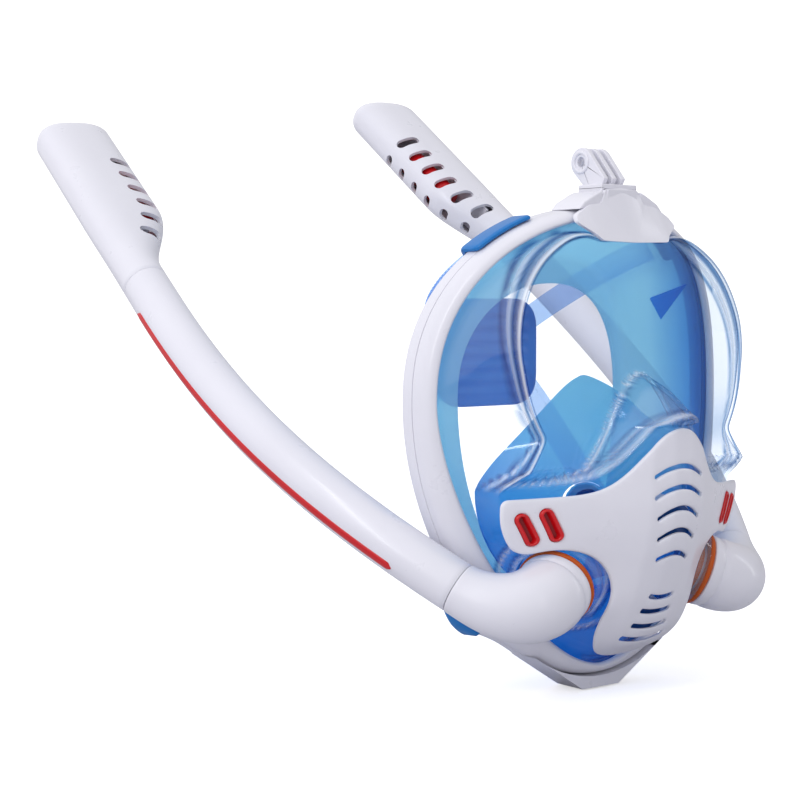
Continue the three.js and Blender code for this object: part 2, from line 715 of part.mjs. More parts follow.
function tube() {
  const places = frames(BEND, TUBE_STATIONS);
  const end = places[places.length - 1];
  places.push({ ...end, at: COLLAR.clone().addScaledVector(TUBE_END_WAY, -0.3) });
  const outer = places.map((f) => roundSection(f, TUBE_R, TUBE_SIDES));
  const inner = places.map((f) => roundSection(f, TUBE_BORE, TUBE_SIDES));
  return hollowLoft(outer, inner);
}

const STRIPE = {
  from: 0.12, to: 1, half: 0.2, thick: 1, facing: new THREE.Vector3(0.88, -0.15, -0.45).normalize(),
};

function tubeStripe() {
  // slim bar that lies along the outer lower side of the tube
  const count = 11;
  const stations = Array.from({ length: count }, (_, i) => (
    STRIPE.from + ((STRIPE.to - STRIPE.from) * i) / (count - 1)));
  const sections = frames(BEND, stations).map(({ at, along }) => {
    const out = STRIPE.facing.clone().addScaledVector(along, -STRIPE.facing.dot(along)).normalize();
    const wide = along.clone().cross(out);
    const corner = (r, a) => at.clone().addScaledVector(out, r * Math.cos(a))
      .addScaledVector(wide, r * Math.sin(a));
    const low = TUBE_R + 0.3;
    const high = low + STRIPE.thick;
    return [corner(low, -STRIPE.half), corner(high, -STRIPE.half), corner(high, STRIPE.half),
      corner(low, STRIPE.half)];
  });
  return barLoft(sections);
}

// ---------- tube heads ----------
const HEAD_UP = new THREE.Vector3(0, -TUBE_END_WAY.z, TUBE_END_WAY.y).normalize();
const HEAD_IN = new THREE.Vector3(-1, 0, 0).addScaledVector(TUBE_END_WAY, TUBE_END_WAY.x).normalize();

function headPoint(s, inward, up) {
  return COLLAR.clone().addScaledVector(TUBE_END_WAY, s).addScaledVector(HEAD_IN, inward)
    .addScaledVector(HEAD_UP, up);
}

function headRim(s, angle, shrink) {
  // inward and up of a point of the head's outline; the outer side stays in line with the tube
  const grow = smoothstep(...HEAD.swells, s);
  const power = 2 / (2 + (HEAD.power - 2) * grow);
  const c = Math.cos(angle);
  const d = Math.sin(angle);
  const wide = TUBE_R + (HEAD.wide - TUBE_R) * grow - shrink;
  const deep = TUBE_R + (HEAD.deep - TUBE_R) * grow - shrink;
  return [HEAD.shift * grow + wide * Math.sign(c) * Math.abs(c) ** power,
    deep * Math.sign(d) * Math.abs(d) ** power];
}

function headSection(s, wall, shrink = 0, sides = 18) {
  // outline at s, made smaller by wall and, in the rounded end, by shrink; the end is cut at a tilt
  const points = [];
  const tilt = HEAD.tilt * smoothstep(HEAD_LENGTH - 60, HEAD_LENGTH - HEAD.nose, s);
  for (let i = 0; i < sides; i += 1) {
    const at = Math.min(s, HEAD_LENGTH - HEAD.nose);
    const [inward, up] = headRim(at, (2 * Math.PI * i) / sides, wall + shrink);
    const share = (HEAD.wide + HEAD.shift - inward) / (2 * HEAD.wide);
    points.push(headPoint(s - tilt * share, inward, up));
  }
  return points;
}

function headBox(s, inward, up, turn, length, width, depth) {
  // box centred at a point in the head; 'turn' is the angle of its outward side from the inward direction
  const out = HEAD_IN.clone().multiplyScalar(Math.cos(turn)).addScaledVector(HEAD_UP, Math.sin(turn));
  const basis = new THREE.Matrix4().makeBasis(TUBE_END_WAY, out, TUBE_END_WAY.clone().cross(out));
  const at = headPoint(s, inward, up);
  return new THREE.BoxGeometry(width, depth, length).applyMatrix4(basis).translate(at.x, at.y, at.z);
}

function tubeHead() {
  const swell = [0, ...[8, 20, 32, 44, 56, 72], HEAD_LENGTH - 60, HEAD_LENGTH - HEAD.nose];
  const solidPart = swell.map((s) => headSection(s, 0));
  solidPart.push(headSection(HEAD_LENGTH - 5, 0, 2), headSection(HEAD_LENGTH, 0, 7));
  const hollow = [-1, ...swell.slice(1)].map((s) => headSection(s, HEAD.wall));
  hollow.push(headSection(HEAD_LENGTH - 4, HEAD.wall, 4));
  const slots = [];
  for (let i = 0; i < SLOT.count; i += 1) {
    const s = SLOT.first + SLOT.pitch * i;
    slots.push(headBox(s, ...headRim(s, 1.01, 1.5), 0.95, 16, SLOT.width, 9));
    slots.push(headBox(s, ...headRim(s, -0.2, 1.5), -0.2, 8.5, SLOT.width, 8));
  }
  return carve(barLoft(solidPart), [], [barLoft(hollow), ...slots]);
}

const CHAMBER = { at: 21.5, r: 10.6 };

function floatGuide() {
  // wall between the air channel and the float's chamber, with the float's seat on top
  const wall = headBox(92, 10.4, 0, 0, 21, 104, 1.6);
  const seat = pipe(headPoint(139, CHAMBER.at, 0), TUBE_END_WAY, CHAMBER.r, 5.5, 0, 3, 18);
  const stop = headBox(54, 15, 0, 0, 12, 3, 11);
  return carve(wall, [seat, stop], []);
}

function floatBody() {
  return cylinderAlong(headPoint(FLOAT.at, CHAMBER.at, 0), TUBE_END_WAY, FLOAT.r, 0, FLOAT.length, 18);
}

function floatSeal() {
  const base = headPoint(FLOAT.at + FLOAT.length, CHAMBER.at, 0);
  return cylinderAlong(base, TUBE_END_WAY, FLOAT.r - 1, 0.3, 2.6, 18);
}

function headRing() {
  return pipe(headPoint(0, 0, 0), TUBE_END_WAY, TUBE_BORE - 0.6, TUBE_BORE - 2, -3, 3, 14);
}

// ---------- head harness ----------
const ANCHOR_PROFILE = [[1, 1.1, 9.5], [1, 3.2, 10.5], [1, 3, 22.8], [1, -3.4, 25.4], [1, -3.6, 22.8],
  [1, 1.1, 19.9]];
const ANCHORS = {
  upper: { from: 0.82, to: 1.16 },
  lower: { from: -0.86, to: -0.7 },
};

function strapAnchor(side, { from, to }) {
  const stationAngle = (2 * Math.PI) / STEPS;
  const angles = [from];
  for (let i = Math.ceil(from / stationAngle); i * stationAngle < to; i += 1) angles.push(i * stationAngle);
  angles.push(to);
  const sections = angles.map((angle) => ANCHOR_PROFILE.map((p) => mirrored(flatPoint(angle, p), side)));
  return barLoft(side > 0 ? sections : sections.reverse(), ANCHOR_PROFILE.length - 1);
}

const PAD = { y: 104, z: 22, half: 36, tall: 30, thick: 4 };
const STRAPS = { upper: { wide: 13, thick: 2.4 }, lower: { wide: 14, thick: 2.4 }, steps: 8 };

function strapRoute(upper) {
  const { from, to } = upper ? ANCHORS.upper : ANCHORS.lower;
  const start = framePoint((from + to) / 2, 1, -6, 27.5);
  const end = new THREE.Vector3(PAD.half - 7, PAD.y + 6.8, PAD.z + (upper ? 14 : -14));
  const leaves = start.clone().add(new THREE.Vector3(-8, 24, upper ? -9 : 8));
  const arrives = end.clone().add(new THREE.Vector3(26, -2, upper ? 16 : -24));
  return new THREE.CubicBezierCurve3(start, leaves, arrives, end);
}

function strap(side, upper) {
  // flat strap from behind its anchor on the frame to the harness pad
  const curve = strapRoute(upper);
  const { wide, thick } = upper ? STRAPS.upper : STRAPS.lower;
  const across = new THREE.Vector3(-0.5, 0, upper ? 1 : -1);
  const sections = [];
  for (let i = 0; i <= STRAPS.steps; i += 1) {
    const at = curve.getPoint(i / STRAPS.steps);
    const along = curve.getTangent(i / STRAPS.steps);
    const up = across.clone().addScaledVector(along, -along.dot(across)).normalize();
    const out = along.clone().cross(up);
    const corner = (a, b) => mirrored(
      at.clone().addScaledVector(up, (a * wide) / 2).addScaledVector(out, (b * thick) / 2), side);
    sections.push([corner(-1, -1), corner(1, -1), corner(1, 1), corner(-1, 1)]);
  }
  return barLoft(sections);
}

function harnessPad() {
  const shape = new THREE.Shape();
  shape.moveTo(-PAD.half + 8, -PAD.tall);
  shape.lineTo(PAD.half - 8, -PAD.tall);
  shape.quadraticCurveTo(PAD.half, -PAD.tall, PAD.half, -PAD.tall + 10);
  shape.lineTo(PAD.half, PAD.tall - 10);
  shape.quadraticCurveTo(PAD.half, PAD.tall, PAD.half - 8, PAD.tall);
  shape.lineTo(-PAD.half + 8, PAD.tall);
  shape.quadraticCurveTo(-PAD.half, PAD.tall, -PAD.half, PAD.tall - 10);
  shape.lineTo(-PAD.half, -PAD.tall + 10);
  shape.quadraticCurveTo(-PAD.half, -PAD.tall, -PAD.half + 8, -PAD.tall);
  return extrudeAlongY(shape, PAD.y - PAD.thick / 2, PAD.y + PAD.thick / 2).translate(0, 0, PAD.z);
}

// ---------- assembly ----------
function flipped(geometry) {
  // mirror image in x, with the triangles turned back to face out
  const copy = geometry.clone().scale(-1, 1, 1);
  const index = copy.index.array;
  for (let i = 0; i < index.length; i += 3) [index[i + 1], index[i + 2]] = [index[i + 2], index[i + 1]];
  return copy;
}

const group = new THREE.Group();

function add(name, geometry, material, parent = group) {
  const mesh = new THREE.Mesh(geometry, material);
  mesh.name = name;
  parent.add(mesh);
}

add('front_frame', frontFrame(), WHITE);
add('rear_frame', rearFrame(), WHITE);
add('visor', visor(), CLEAR);
add('top_clip', topClip(), WHITE);
add('bottom_clip', bottomClip(), WHITE);
add('camera_mount', cameraMount(), WHITE);
add('face_skirt', faceSkirt(), BLUE);
add('nose_cup', noseCup(), BLUE);
add('chin_cover', chinCover(), WHITE);
add('harness_pad', harnessPad(), STRAP);

for (const [name, valve] of [['exhale', EXHALE], ['purge', PURGE]]) {
  const base = onVisor(0, valve.z);
  const seat = -VALVE_SINK;
  add(`${name}_valve_seat`, valveSeat(base, valve.axis, valve.r, seat - VALVE_DEPTH, seat), WHITE);
  add(`${name}_valve_flap`, flap(base, valve.axis, valve.r + 2, seat), FLAP);
}

for (const [name, side] of [['right', -1], ['left', 1]]) {
  const inward = mirrored(INHALE.axis, side).negate();
  add(`inhale_valve_seat_${name}`, valveSeat(onCup(side), inward, INHALE.r, -1.5, 3), WHITE);
  add(`inhale_valve_flap_${name}`, flap(onCup(side), inward, INHALE.r + 1.8, 3), FLAP);
  add(`port_gasket_${name}`, gasket(side), ORANGE);
  TRIM_SLOTS.forEach((slot, i) => {
    add(`slot_trim_${name}_${i ? 'inner' : 'outer'}`, slotTrim(side, slot), RED);
  });
  for (const height of ['upper', 'lower']) {
    const upper = height === 'upper';
    add(`strap_anchor_${height}_${name}`, strapAnchor(side, ANCHORS[height]), STRAP);
    add(`strap_${height}_${name}`, strap(side, upper), STRAP);
  }

  // the tube assembly, turned in its port to where it rests
  const assembly = new THREE.Group();
  const turn = (SWIVEL_REST[name] * Math.PI) / 180;
  const base = mirrored(PORT, side);
  const turned = new THREE.Quaternion().setFromAxisAngle(mirrored(PORT_AXIS, side), side * turn);
  assembly.quaternion.copy(turned);
  assembly.position.copy(base).sub(base.clone().applyQuaternion(turned));
  group.add(assembly);
  const pieces = [
    ['elbow', elbow(), WHITE], ['elbow_o_ring', elbowRing(), ORANGE], ['tube', tube(), WHITE],
    ['tube_stripe', tubeStripe(), RED], ['tube_head', tubeHead(), WHITE],
    ['float_guide', floatGuide(), WHITE], ['float', floatBody(), RED], ['float_seal', floatSeal(), ORANGE],
    ['head_o_ring', headRing(), ORANGE],
  ];
  for (const [piece, geometry, material] of pieces) {
    const shape = side > 0 ? geometry : flipped(geometry);
    add(`${piece}_${name}`, shape, material, assembly);
  }
}

export default group;
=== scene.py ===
"""Full face snorkel mask: the looks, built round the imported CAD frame.

Shapes are worked out in millimetres, and make_object turns them into metres.
"""
import math

import bmesh
import bpy
import numpy as np
from mathutils import Matrix, Vector
from mathutils.geometry import delaunay_2d_cdt


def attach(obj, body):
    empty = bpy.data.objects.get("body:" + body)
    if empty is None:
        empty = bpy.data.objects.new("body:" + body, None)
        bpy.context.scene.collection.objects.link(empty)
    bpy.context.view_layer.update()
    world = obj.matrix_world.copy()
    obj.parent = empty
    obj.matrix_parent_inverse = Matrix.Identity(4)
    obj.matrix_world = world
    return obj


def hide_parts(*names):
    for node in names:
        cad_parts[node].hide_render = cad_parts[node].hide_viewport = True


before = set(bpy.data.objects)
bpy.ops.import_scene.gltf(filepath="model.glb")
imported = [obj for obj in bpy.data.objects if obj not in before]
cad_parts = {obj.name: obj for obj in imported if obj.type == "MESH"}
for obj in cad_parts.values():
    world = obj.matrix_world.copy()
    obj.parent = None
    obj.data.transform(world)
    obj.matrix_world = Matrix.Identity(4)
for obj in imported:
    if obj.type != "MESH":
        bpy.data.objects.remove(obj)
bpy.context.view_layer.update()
MM = 0.001

# ---------- camera ----------
AZIMUTH = math.radians(-38)
ELEVATION = math.radians(3.26)
CAMERA_AT = (-0.64707, -0.64516, 0.05165)
LENS, SENSOR = 79.78, 36


def make_camera():
    data = bpy.data.cameras.new("camera")
    data.lens = LENS
    data.sensor_width = SENSOR
    data.clip_end = 50
    camera = bpy.data.objects.new("camera", data)
    bpy.context.scene.collection.objects.link(camera)
    right = Vector((math.cos(AZIMUTH), math.sin(AZIMUTH), 0))
    back = Vector((math.sin(AZIMUTH) * math.cos(ELEVATION), -math.cos(AZIMUTH) * math.cos(ELEVATION),
                   math.sin(ELEVATION)))
    turn = Matrix((right, back.cross(right), back)).transposed().to_4x4()
    camera.matrix_world = Matrix.Translation(CAMERA_AT) @ turn
    bpy.context.scene.camera = camera


make_camera()


# ---------- numbers shared with the frame ----------
LIP = dict(half=98.5, top=93, bottom=138.5, top_power=2.25, bottom_power=1.68)
RIM = dict(half=105, top=98.5, bottom=144, top_power=2.25, bottom_power=2.0)
LIP_SIDE_Y, LIP_CHIN_Y = 27, 11
VISOR_THICK, FLANGE_Y, FLANGE_OUT = 2.2, 3.6, 2.3
POD_SETBACK, POD_SLOPE, POD_FLAT = 6.4, 0.55, 12
NOSE_Z, NOSE_PROUD, NOSE_STEP = -8.5, 10.5, 3.8
PANE_Y, PANE_TILT, PANE_BOTTOM = -14, 0.0675, -32
PORT = np.array([52.2, -7.6, -90.9])
PORT_AXIS = np.array([0.824, -0.448, -0.347])
PORT_AXIS = PORT_AXIS / np.linalg.norm(PORT_AXIS)
PORT_R, BORE_R = 19.1, 14.6
TUBE_R, TUBE_BORE = 13.06, 10.6
BEND = [np.array(p) for p in (
    (96.9, 12.6, -87.6), (137.9, 77, -41.2), (148.5, 134.5, -4.4), (141.2, 215.1, 55.5))]
TUBE_STRAIGHT = 22
HEAD = dict(length=172, wide=24.5, deep=13.9, shift=11, power=2.6, wall=2.2, nose=11, swells=(8, 72),
            tilt=5)
SLOT = dict(first=40, pitch=15.5, count=6, width=7)
SWIVEL_REST = dict(right=-2.3, left=2.3)
UP = np.array([0.0, 0.0, 1.0])


def unit(v):
    v = np.asarray(v, float)
    return v / np.linalg.norm(v)


# ---------- outlines and height functions ----------
def smooth_table(keys, values, blur):
    """Interpolates a table and rounds its corners over about blur."""
    keys = np.asarray(keys, float)
    fine = np.linspace(keys[0] - 3 * blur, keys[-1] + 3 * blur, 1600)
    step = fine[1] - fine[0]
    raw = np.interp(fine, keys, values)
    reach = int(3 * blur / step)
    weights = np.exp(-0.5 * ((np.arange(-reach, reach + 1) * step) / blur) ** 2)
    rounded = np.convolve(np.pad(raw, reach, mode="edge"), weights / weights.sum(), mode="valid")
    return lambda t: np.interp(t, fine, rounded)


def smoothstep(a, b, t):
    u = np.clip((np.asarray(t, float) - a) / (b - a), 0, 1)
    return u * u * (3 - 2 * u)


def soft_max(a, b, r):
    h = np.maximum(r - np.abs(a - b), 0) / r
    return np.maximum(a, b) + h * h * r / 4


def egg(spec, angle):
    """Points of an egg-shaped outline, whose upper and lower halves have their own height and power."""
    c, s = np.cos(angle), np.sin(angle)
    power = np.where(s >= 0, 2 / spec["top_power"], 2 / spec["bottom_power"])
    height = np.where(s >= 0, spec["top"], spec["bottom"])
    x = spec["half"] * np.sign(c) * np.abs(c) ** power
    z = height * np.sign(s) * np.abs(s) ** power
    return np.stack([x, z], -1)


def egg_reach(spec, direction):
    """Distance from the middle to the outline in a direction."""
    c, s = np.abs(np.cos(direction)), np.sin(direction)
    power = np.where(s >= 0, spec["top_power"], spec["bottom_power"])
    height = np.where(s >= 0, spec["top"], spec["bottom"])
    return ((c / spec["half"]) ** power + (np.abs(s) / height) ** power) ** (-1 / power)


def lip_y(x, z):
    chin = np.where(z < 0, LIP_CHIN_Y * (z / LIP["bottom"]) ** 2, 0)
    return chin + (LIP_SIDE_Y - chin) * (x / LIP["half"]) ** 2


cover_middle = smooth_table(
    [-150, -133, -127, -121, -113.5, -98, -74, -62, -50, -12, 20],
    [28, 4, -9, -16.9, -22.4, -30.5, -39.8, -43, -44.6, -44.3, -44.3], 2.5)
wall_slope = smooth_table(
    [-90, -55, -47, -38, -27, -22, -15, 0, 12, 23, 35, 50, 62, 74, 90],
    [1.5, 1.9, 2.6, 5, 5, 2.2, 1.45, 1.9, 2.3, 3, 4, 5.5, 5.5, 1.5, 1.2], 2)


def cover_y(x, z):
    slope = POD_SLOPE * (1 - 0.35 * smoothstep(75, 105, -z))
    side = np.maximum(0, np.sqrt(x * x + 9) - POD_FLAT / 2)
    return cover_middle(z) + slope * (side - (POD_FLAT / 2) * np.minimum(1, side / POD_FLAT))


def cover_top_z(x):
    x = np.abs(x)
    return -12 - 29.5 * (1 - np.exp(-((x / 27) ** 2.4))) - 0.05 * x


def visor_parts(x, z):
    """Heights of the visor's front and of its side wall, the wall's slope, the rise above the cover's edge
    and how far the pod stands out from the pane."""
    direction = np.arctan2(z, x)
    reach = egg_reach(LIP, direction)
    inside = reach - np.hypot(x, z)
    flange = lip_y(reach * np.cos(direction), reach * np.sin(direction)) + FLANGE_Y
    slope = wall_slope(np.degrees(np.arctan2(z, np.abs(x))))
    wall = flange - slope * np.maximum(0, inside - 1)
    pane = PANE_Y + PANE_TILT * z + 1.5 * np.maximum(0, PANE_BOTTOM - z)
    rise = z - (cover_top_z(x) + 6)
    ledge = 1.35 * np.maximum(0, rise) + 0.06 * np.maximum(0, rise - 9) ** 2
    tip = NOSE_PROUD * np.exp(-((x / 15) ** 2)) * smoothstep(NOSE_Z - NOSE_STEP, NOSE_Z - 0.5, z)
    bead = 1.7 * np.exp(-(((rise + 0.5) / 2.1) ** 2)) * smoothstep(86, 70, np.abs(x))
    pod = cover_y(x, np.minimum(z, -12)) + POD_SETBACK - tip + ledge - bead
    return -soft_max(-pane, -pod, 4), wall, slope, rise, pane - pod


def crease_line(x, z, middle, half):
    """1 along the fold between the visor's front and its side wall, middle mm outside it and half mm wide."""
    front, wall, slope, _, _ = visor_parts(x, z)
    return np.exp(-((((wall - front) / slope - middle) / half) ** 2))


def ledge_line(x, z, middle, half):
    """1 along the foot of the ledge round the nose, where it meets the flat pane."""
    _, _, _, rise, step = visor_parts(x, z)
    fold = np.exp(-(((step / 1.4 - middle) / half) ** 2)) * smoothstep(0, 4, rise)
    return np.maximum(fold, np.exp(-(((rise - middle) / half) ** 2)) * smoothstep(88, 70, np.abs(x)))


def visor_y(x, z):
    front, wall, _, _, _ = visor_parts(x, z)
    reach = egg_reach(LIP, np.arctan2(z, x)) - np.hypot(x, z)
    return soft_max(front, wall, 3) - 0.4 * crease_line(x, z, 0, 1.3) * smoothstep(9, 13, reach)


def frame_point(angle, across, out, back):
    """A point on the frame's ring: across is 0 at the lip and 1 at the rim, back is behind the lip."""
    lip, rim = egg(LIP, angle), egg(RIM, angle)
    way = lip / np.linalg.norm(lip)
    p = lip + (rim - lip) * across + way * out
    return np.array([p[0], lip_y(lip[0], lip[1]) + back, p[1]])


# ---------- mesh tools ----------
def loft(sections, closed_path=False, caps=True):
    """Quads between closed sections, given as an array of shape sections, points, 3."""
    sections = np.asarray(sections, float)
    n, m = sections.shape[:2]
    faces = []
    for i in range(n if closed_path else n - 1):
        for j in range(m):
            a, b = i * m + j, i * m + (j + 1) % m
            c, d = ((i + 1) % n) * m + j, ((i + 1) % n) * m + (j + 1) % m
            faces.append((a, b, d, c))
    if caps and not closed_path:
        faces.append(tuple(range(m))[::-1])
        faces.append(tuple((n - 1) * m + j for j in range(m)))
    return sections.reshape(-1, 3), faces


def joined(*parts):
    """One shape out of several."""
    verts, faces, base = [], [], 0
    for v, f in parts:
        verts.append(np.asarray(v, float))
        faces += [tuple(i + base for i in face) for face in f]
        base += len(v)
    return np.concatenate(verts), faces


def rounded(points, radius, steps=4, closed=True):
    """The outline with each corner turned into a curve about radius long."""
    points = [np.asarray(p, float) for p in points]
    out, n = [], len(points)
    for i, p in enumerate(points):
        if not closed and i in (0, n - 1):
            out.append(p)
            continue
        before, after = points[i - 1], points[(i + 1) % n]
        r = radius[i] if hasattr(radius, "__len__") else radius
        a = p + (before - p) * min(0.45, r / max(1e-6, np.linalg.norm(before - p)))
        b = p + (after - p) * min(0.45, r / max(1e-6, np.linalg.norm(after - p)))
        for k in range(steps + 1):
            t = k / steps
            out.append((1 - t) ** 2 * a + 2 * t * (1 - t) * p + t * t * b)
    return out


def outward(mesh):
    """Merges doubled points and turns every face outwards."""
    work = bmesh.new()
    work.from_mesh(mesh)
    bmesh.ops.remove_doubles(work, verts=work.verts, dist=1e-7)
    bmesh.ops.recalc_face_normals(work, faces=work.faces)
    work.to_mesh(mesh)
    work.free()


def make_object(name, shape, sharp=40):
    verts, faces = shape
    mesh = bpy.data.meshes.new(name)
    mesh.from_pydata([tuple(p) for p in np.asarray(verts) * MM], [], faces)
    outward(mesh)
    mesh.shade_smooth()
    mesh.set_sharp_from_angle(angle=math.radians(sharp))
    obj = bpy.data.objects.new(name, mesh)
    bpy.context.scene.collection.objects.link(obj)
    return obj


def place(obj, material, slot, body, *nodes):
    """Gives a piece its material and makes it ride on a body in place of its CAD nodes."""
    obj.data.materials.clear()
    obj.data.materials.append(material)
    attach(obj, body)
    if nodes:
        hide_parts(*nodes)
    return obj


def bevel(obj, width, segments=3, angle=35):
    modifier = obj.modifiers.new("bevel", "BEVEL")
    modifier.width = width * MM
    modifier.segments = segments
    modifier.limit_method = "ANGLE"
    modifier.angle_limit = math.radians(angle)
    return obj


def boolean(obj, cutter, operation):
    modifier = obj.modifiers.new("cut", "BOOLEAN")
    modifier.operation = operation
    modifier.solver = "EXACT"
    modifier.object = cutter
    bake(obj)
    mesh = cutter.data
    bpy.data.objects.remove(cutter)
    bpy.data.meshes.remove(mesh)


def bake(obj, sharp=40):
    """Turns the object's modifiers into its mesh."""
    bpy.context.view_layer.update()
    graph = bpy.context.evaluated_depsgraph_get()
    mesh = bpy.data.meshes.new_from_object(obj.evaluated_get(graph))
    obj.modifiers.clear()
    old = obj.data
    obj.data = mesh
    bpy.data.meshes.remove(old)
    mesh.shade_smooth()
    mesh.set_sharp_from_angle(angle=math.radians(sharp))


def basis(axis, hint=UP):
    axis = unit(axis)
    u = unit(np.cross(hint, axis))
    return u, np.cross(axis, u), axis


def lathe(base, axis, profile, sides=72, closed=False):
    """Turns (along, radius) pairs about an axis; closed joins the last pair to the first."""
    u, v, w = basis(axis)
    a = np.linspace(0, 2 * math.pi, sides, endpoint=False)
    ring = np.cos(a)[:, None] * u + np.sin(a)[:, None] * v
    sections = [np.asarray(base) + w * s + ring * r for s, r in profile]
    return loft(sections, closed_path=closed)


def inside_polygon(polygon, points):
    x, y = points[:, 0], points[:, 1]
    result = np.zeros(len(points), bool)
    for (x0, y0), (x1, y1) in zip(polygon, np.roll(polygon, -1, axis=0)):
        crosses = (y0 > y) != (y1 > y)
        with np.errstate(divide="ignore", invalid="ignore"):
            result ^= crosses & (x < (x1 - x0) * (y - y0) / (y1 - y0) + x0)
    return result


def distance_to(polygon, points):
    best = np.full(len(points), 1e9)
    for a, b in zip(polygon, np.roll(polygon, -1, axis=0)):
        ab = b - a
        t = np.clip(((points - a) @ ab) / max(1e-12, ab @ ab), 0, 1)
        best = np.minimum(best, np.linalg.norm(points - a - t[:, None] * ab, axis=1))
    return best


def resampled(polygon, step):
    polygon = np.asarray(polygon, float)
    closed = np.vstack([polygon, polygon[:1]])
    length = np.concatenate([[0], np.cumsum(np.linalg.norm(np.diff(closed, axis=0), axis=1))])
    count = max(8, int(length[-1] / step))
    t = np.linspace(0, length[-1], count, endpoint=False)
    return np.stack([np.interp(t, length, closed[:, k]) for k in (0, 1)], -1)


def shrunk(polygon, by):
    """The outline moved inwards, keeping its points."""
    before, after = np.roll(polygon, 1, axis=0), np.roll(polygon, -1, axis=0)
    tangent = after - before
    tangent /= np.maximum(1e-9, np.linalg.norm(tangent, axis=1))[:, None]
    area = 0.5 * np.sum(polygon[:, 0] * after[:, 1] - after[:, 0] * polygon[:, 1])
    normal = np.stack([-tangent[:, 1], tangent[:, 0]], -1) * math.copysign(1, area)
    return polygon + normal * by


def traced(lines):
    """Points of several closed lines in a row, and the edges that join each line's points."""
    points, edges = [], []
    for line in lines:
        base, count = len(points), len(line)
        points += list(line)
        edges += [(base + i, base + (i + 1) % count) for i in range(count)]
    return np.array(points), edges


def triangulated(points, edges, rims, merge):
    """Triangles between the first rim and the others, which are holes."""
    out = delaunay_2d_cdt([Vector(p) for p in points], edges, [], 0, merge)
    flat = np.array([tuple(v) for v in out[0]])
    tris = np.array([tuple(f) for f in out[2] if len(f) == 3])
    middle = flat[tris].mean(1)
    keep = inside_polygon(rims[0], middle)
    for rim in rims[1:]:
        keep &= ~inside_polygon(rim, middle)
    return flat, tris[keep]


def two_sided(tris, count):
    """Faces of a sheet: the triangles in front, the same ones behind, and walls along the open edges."""
    faces = [tuple(t) for t in tris] + [tuple(t[::-1] + count) for t in tris]
    directed = {e for a, b, c in tris for e in ((a, b), (b, c), (c, a))}
    return faces + [(b, a, a + count, b + count) for a, b in directed if (b, a) not in directed]


def rim_distance(rims, points):
    return np.min([distance_to(rim, points) for rim in rims], axis=0)


def plate(outline, holes, height, thickness, spacing=2.2, edge=0.9):
    """A sheet over an outline in x, z with holes, its front at y = height(x, z), with rounded edges."""
    rims = [resampled(outline, 1.2)] + [resampled(h, 0.6) for h in holes]
    insets = (0, edge * 0.3, edge)
    points, edges = traced([shrunk(rim, inset if index == 0 else -inset)
                            for index, rim in enumerate(rims) for inset in insets])
    low, high = points.min(0), points.max(0)
    grid = np.array([(x, z) for i, z in enumerate(np.arange(low[1], high[1], spacing * 0.87))
                     for x in np.arange(low[0] + (i % 2) * spacing / 2, high[0], spacing)])
    keep = inside_polygon(rims[0], grid) & (rim_distance(rims, grid) > edge + spacing * 0.4)
    for rim in rims[1:]:
        keep &= ~inside_polygon(rim, grid)
    flat, tris = triangulated(np.vstack([points, grid[keep]]), edges, rims, 1e-5)
    d = np.clip(rim_distance(rims, flat) / edge, 0, 1)
    drop = edge * (1 - np.sqrt(np.maximum(0, 1 - (1 - d) ** 2)))
    y = height(flat[:, 0], flat[:, 1])
    front, back = [np.stack([flat[:, 0], side, flat[:, 1]], -1) for side in (y + drop, y + thickness)]
    return np.vstack([front, back]), two_sided(tris, len(flat))


def prism(outline, y0, y1, holes=()):
    """A flat-ended solid between y0 and y1 over an outline in x, z."""
    rims = [np.asarray(rim, float) for rim in (outline, *holes)]
    points, edges = traced(rims)
    flat, tris = triangulated(points, edges, rims, 1e-6)
    ends = [np.stack([flat[:, 0], np.full(len(flat), y), flat[:, 1]], -1) for y in (y0, y1)]
    return np.vstack(ends), two_sided(tris, len(flat))


def dish(front, back):
    """A thick sheet from rings round a middle point, front and back arrays of shape rings, points, 3."""
    rings, m = front.shape[:2]
    half = rings * m
    verts = np.concatenate([front.reshape(-1, 3), back.reshape(-1, 3)])
    faces = []
    for side in (0, 1):
        for i in range(rings - 1):
            for j in range(m):
                a, b = side * half + i * m + j, side * half + i * m + (j + 1) % m
                quad = (a, a + m, b + m, b)
                faces.append(quad if side == 0 else quad[::-1])
        middle = tuple(side * half + j for j in range(m))
        faces.append(middle if side == 0 else middle[::-1])
    last = (rings - 1) * m
    for j in range(m):
        k = (j + 1) % m
        faces.append((last + j, half + last + j, half + last + k, last + k))
    return verts, faces


def sheet_normals(height, x, z, h=0.5):
    slope_x = (height(x + h, z) - height(x - h, z)) / (2 * h)
    slope_z = (height(x, z + h) - height(x, z - h)) / (2 * h)
    n = np.stack([-slope_x, np.ones_like(slope_x), -slope_z], -1)
    return n / np.linalg.norm(n, axis=-1, keepdims=True)


# ---------- curves ----------
def bezier(points, t):
    """A Bezier curve through its first and last point, of any degree."""
    t = np.asarray(t, float)[:, None]
    last = len(points) - 1
    terms = [math.comb(last, k) * t ** k * (1 - t) ** (last - k) * np.asarray(p, float)
             for k, p in enumerate(points)]
    return sum(terms)


def frames_along(path, hint):
    """Cross directions carried along a path without twisting."""
    tangent = np.gradient(path, axis=0)
    tangent /= np.linalg.norm(tangent, axis=1)[:, None]
    across, out = np.asarray(hint, float), []
    for t in tangent:
        across = unit(across - t * (across @ t))
        out.append((t, across, np.cross(t, across)))
    return out


def sweep(path, section, hint=(1, 0, 0)):
    """A loft along a path; section(i, share) gives points across, up for each station."""
    sections = []
    for i, (p, (_, u, v)) in enumerate(zip(path, frames_along(path, hint))):
        s = section(i, i / (len(path) - 1))
        sections.append(p + s[:, :1] * u + s[:, 1:] * v)
    return np.array(sections)


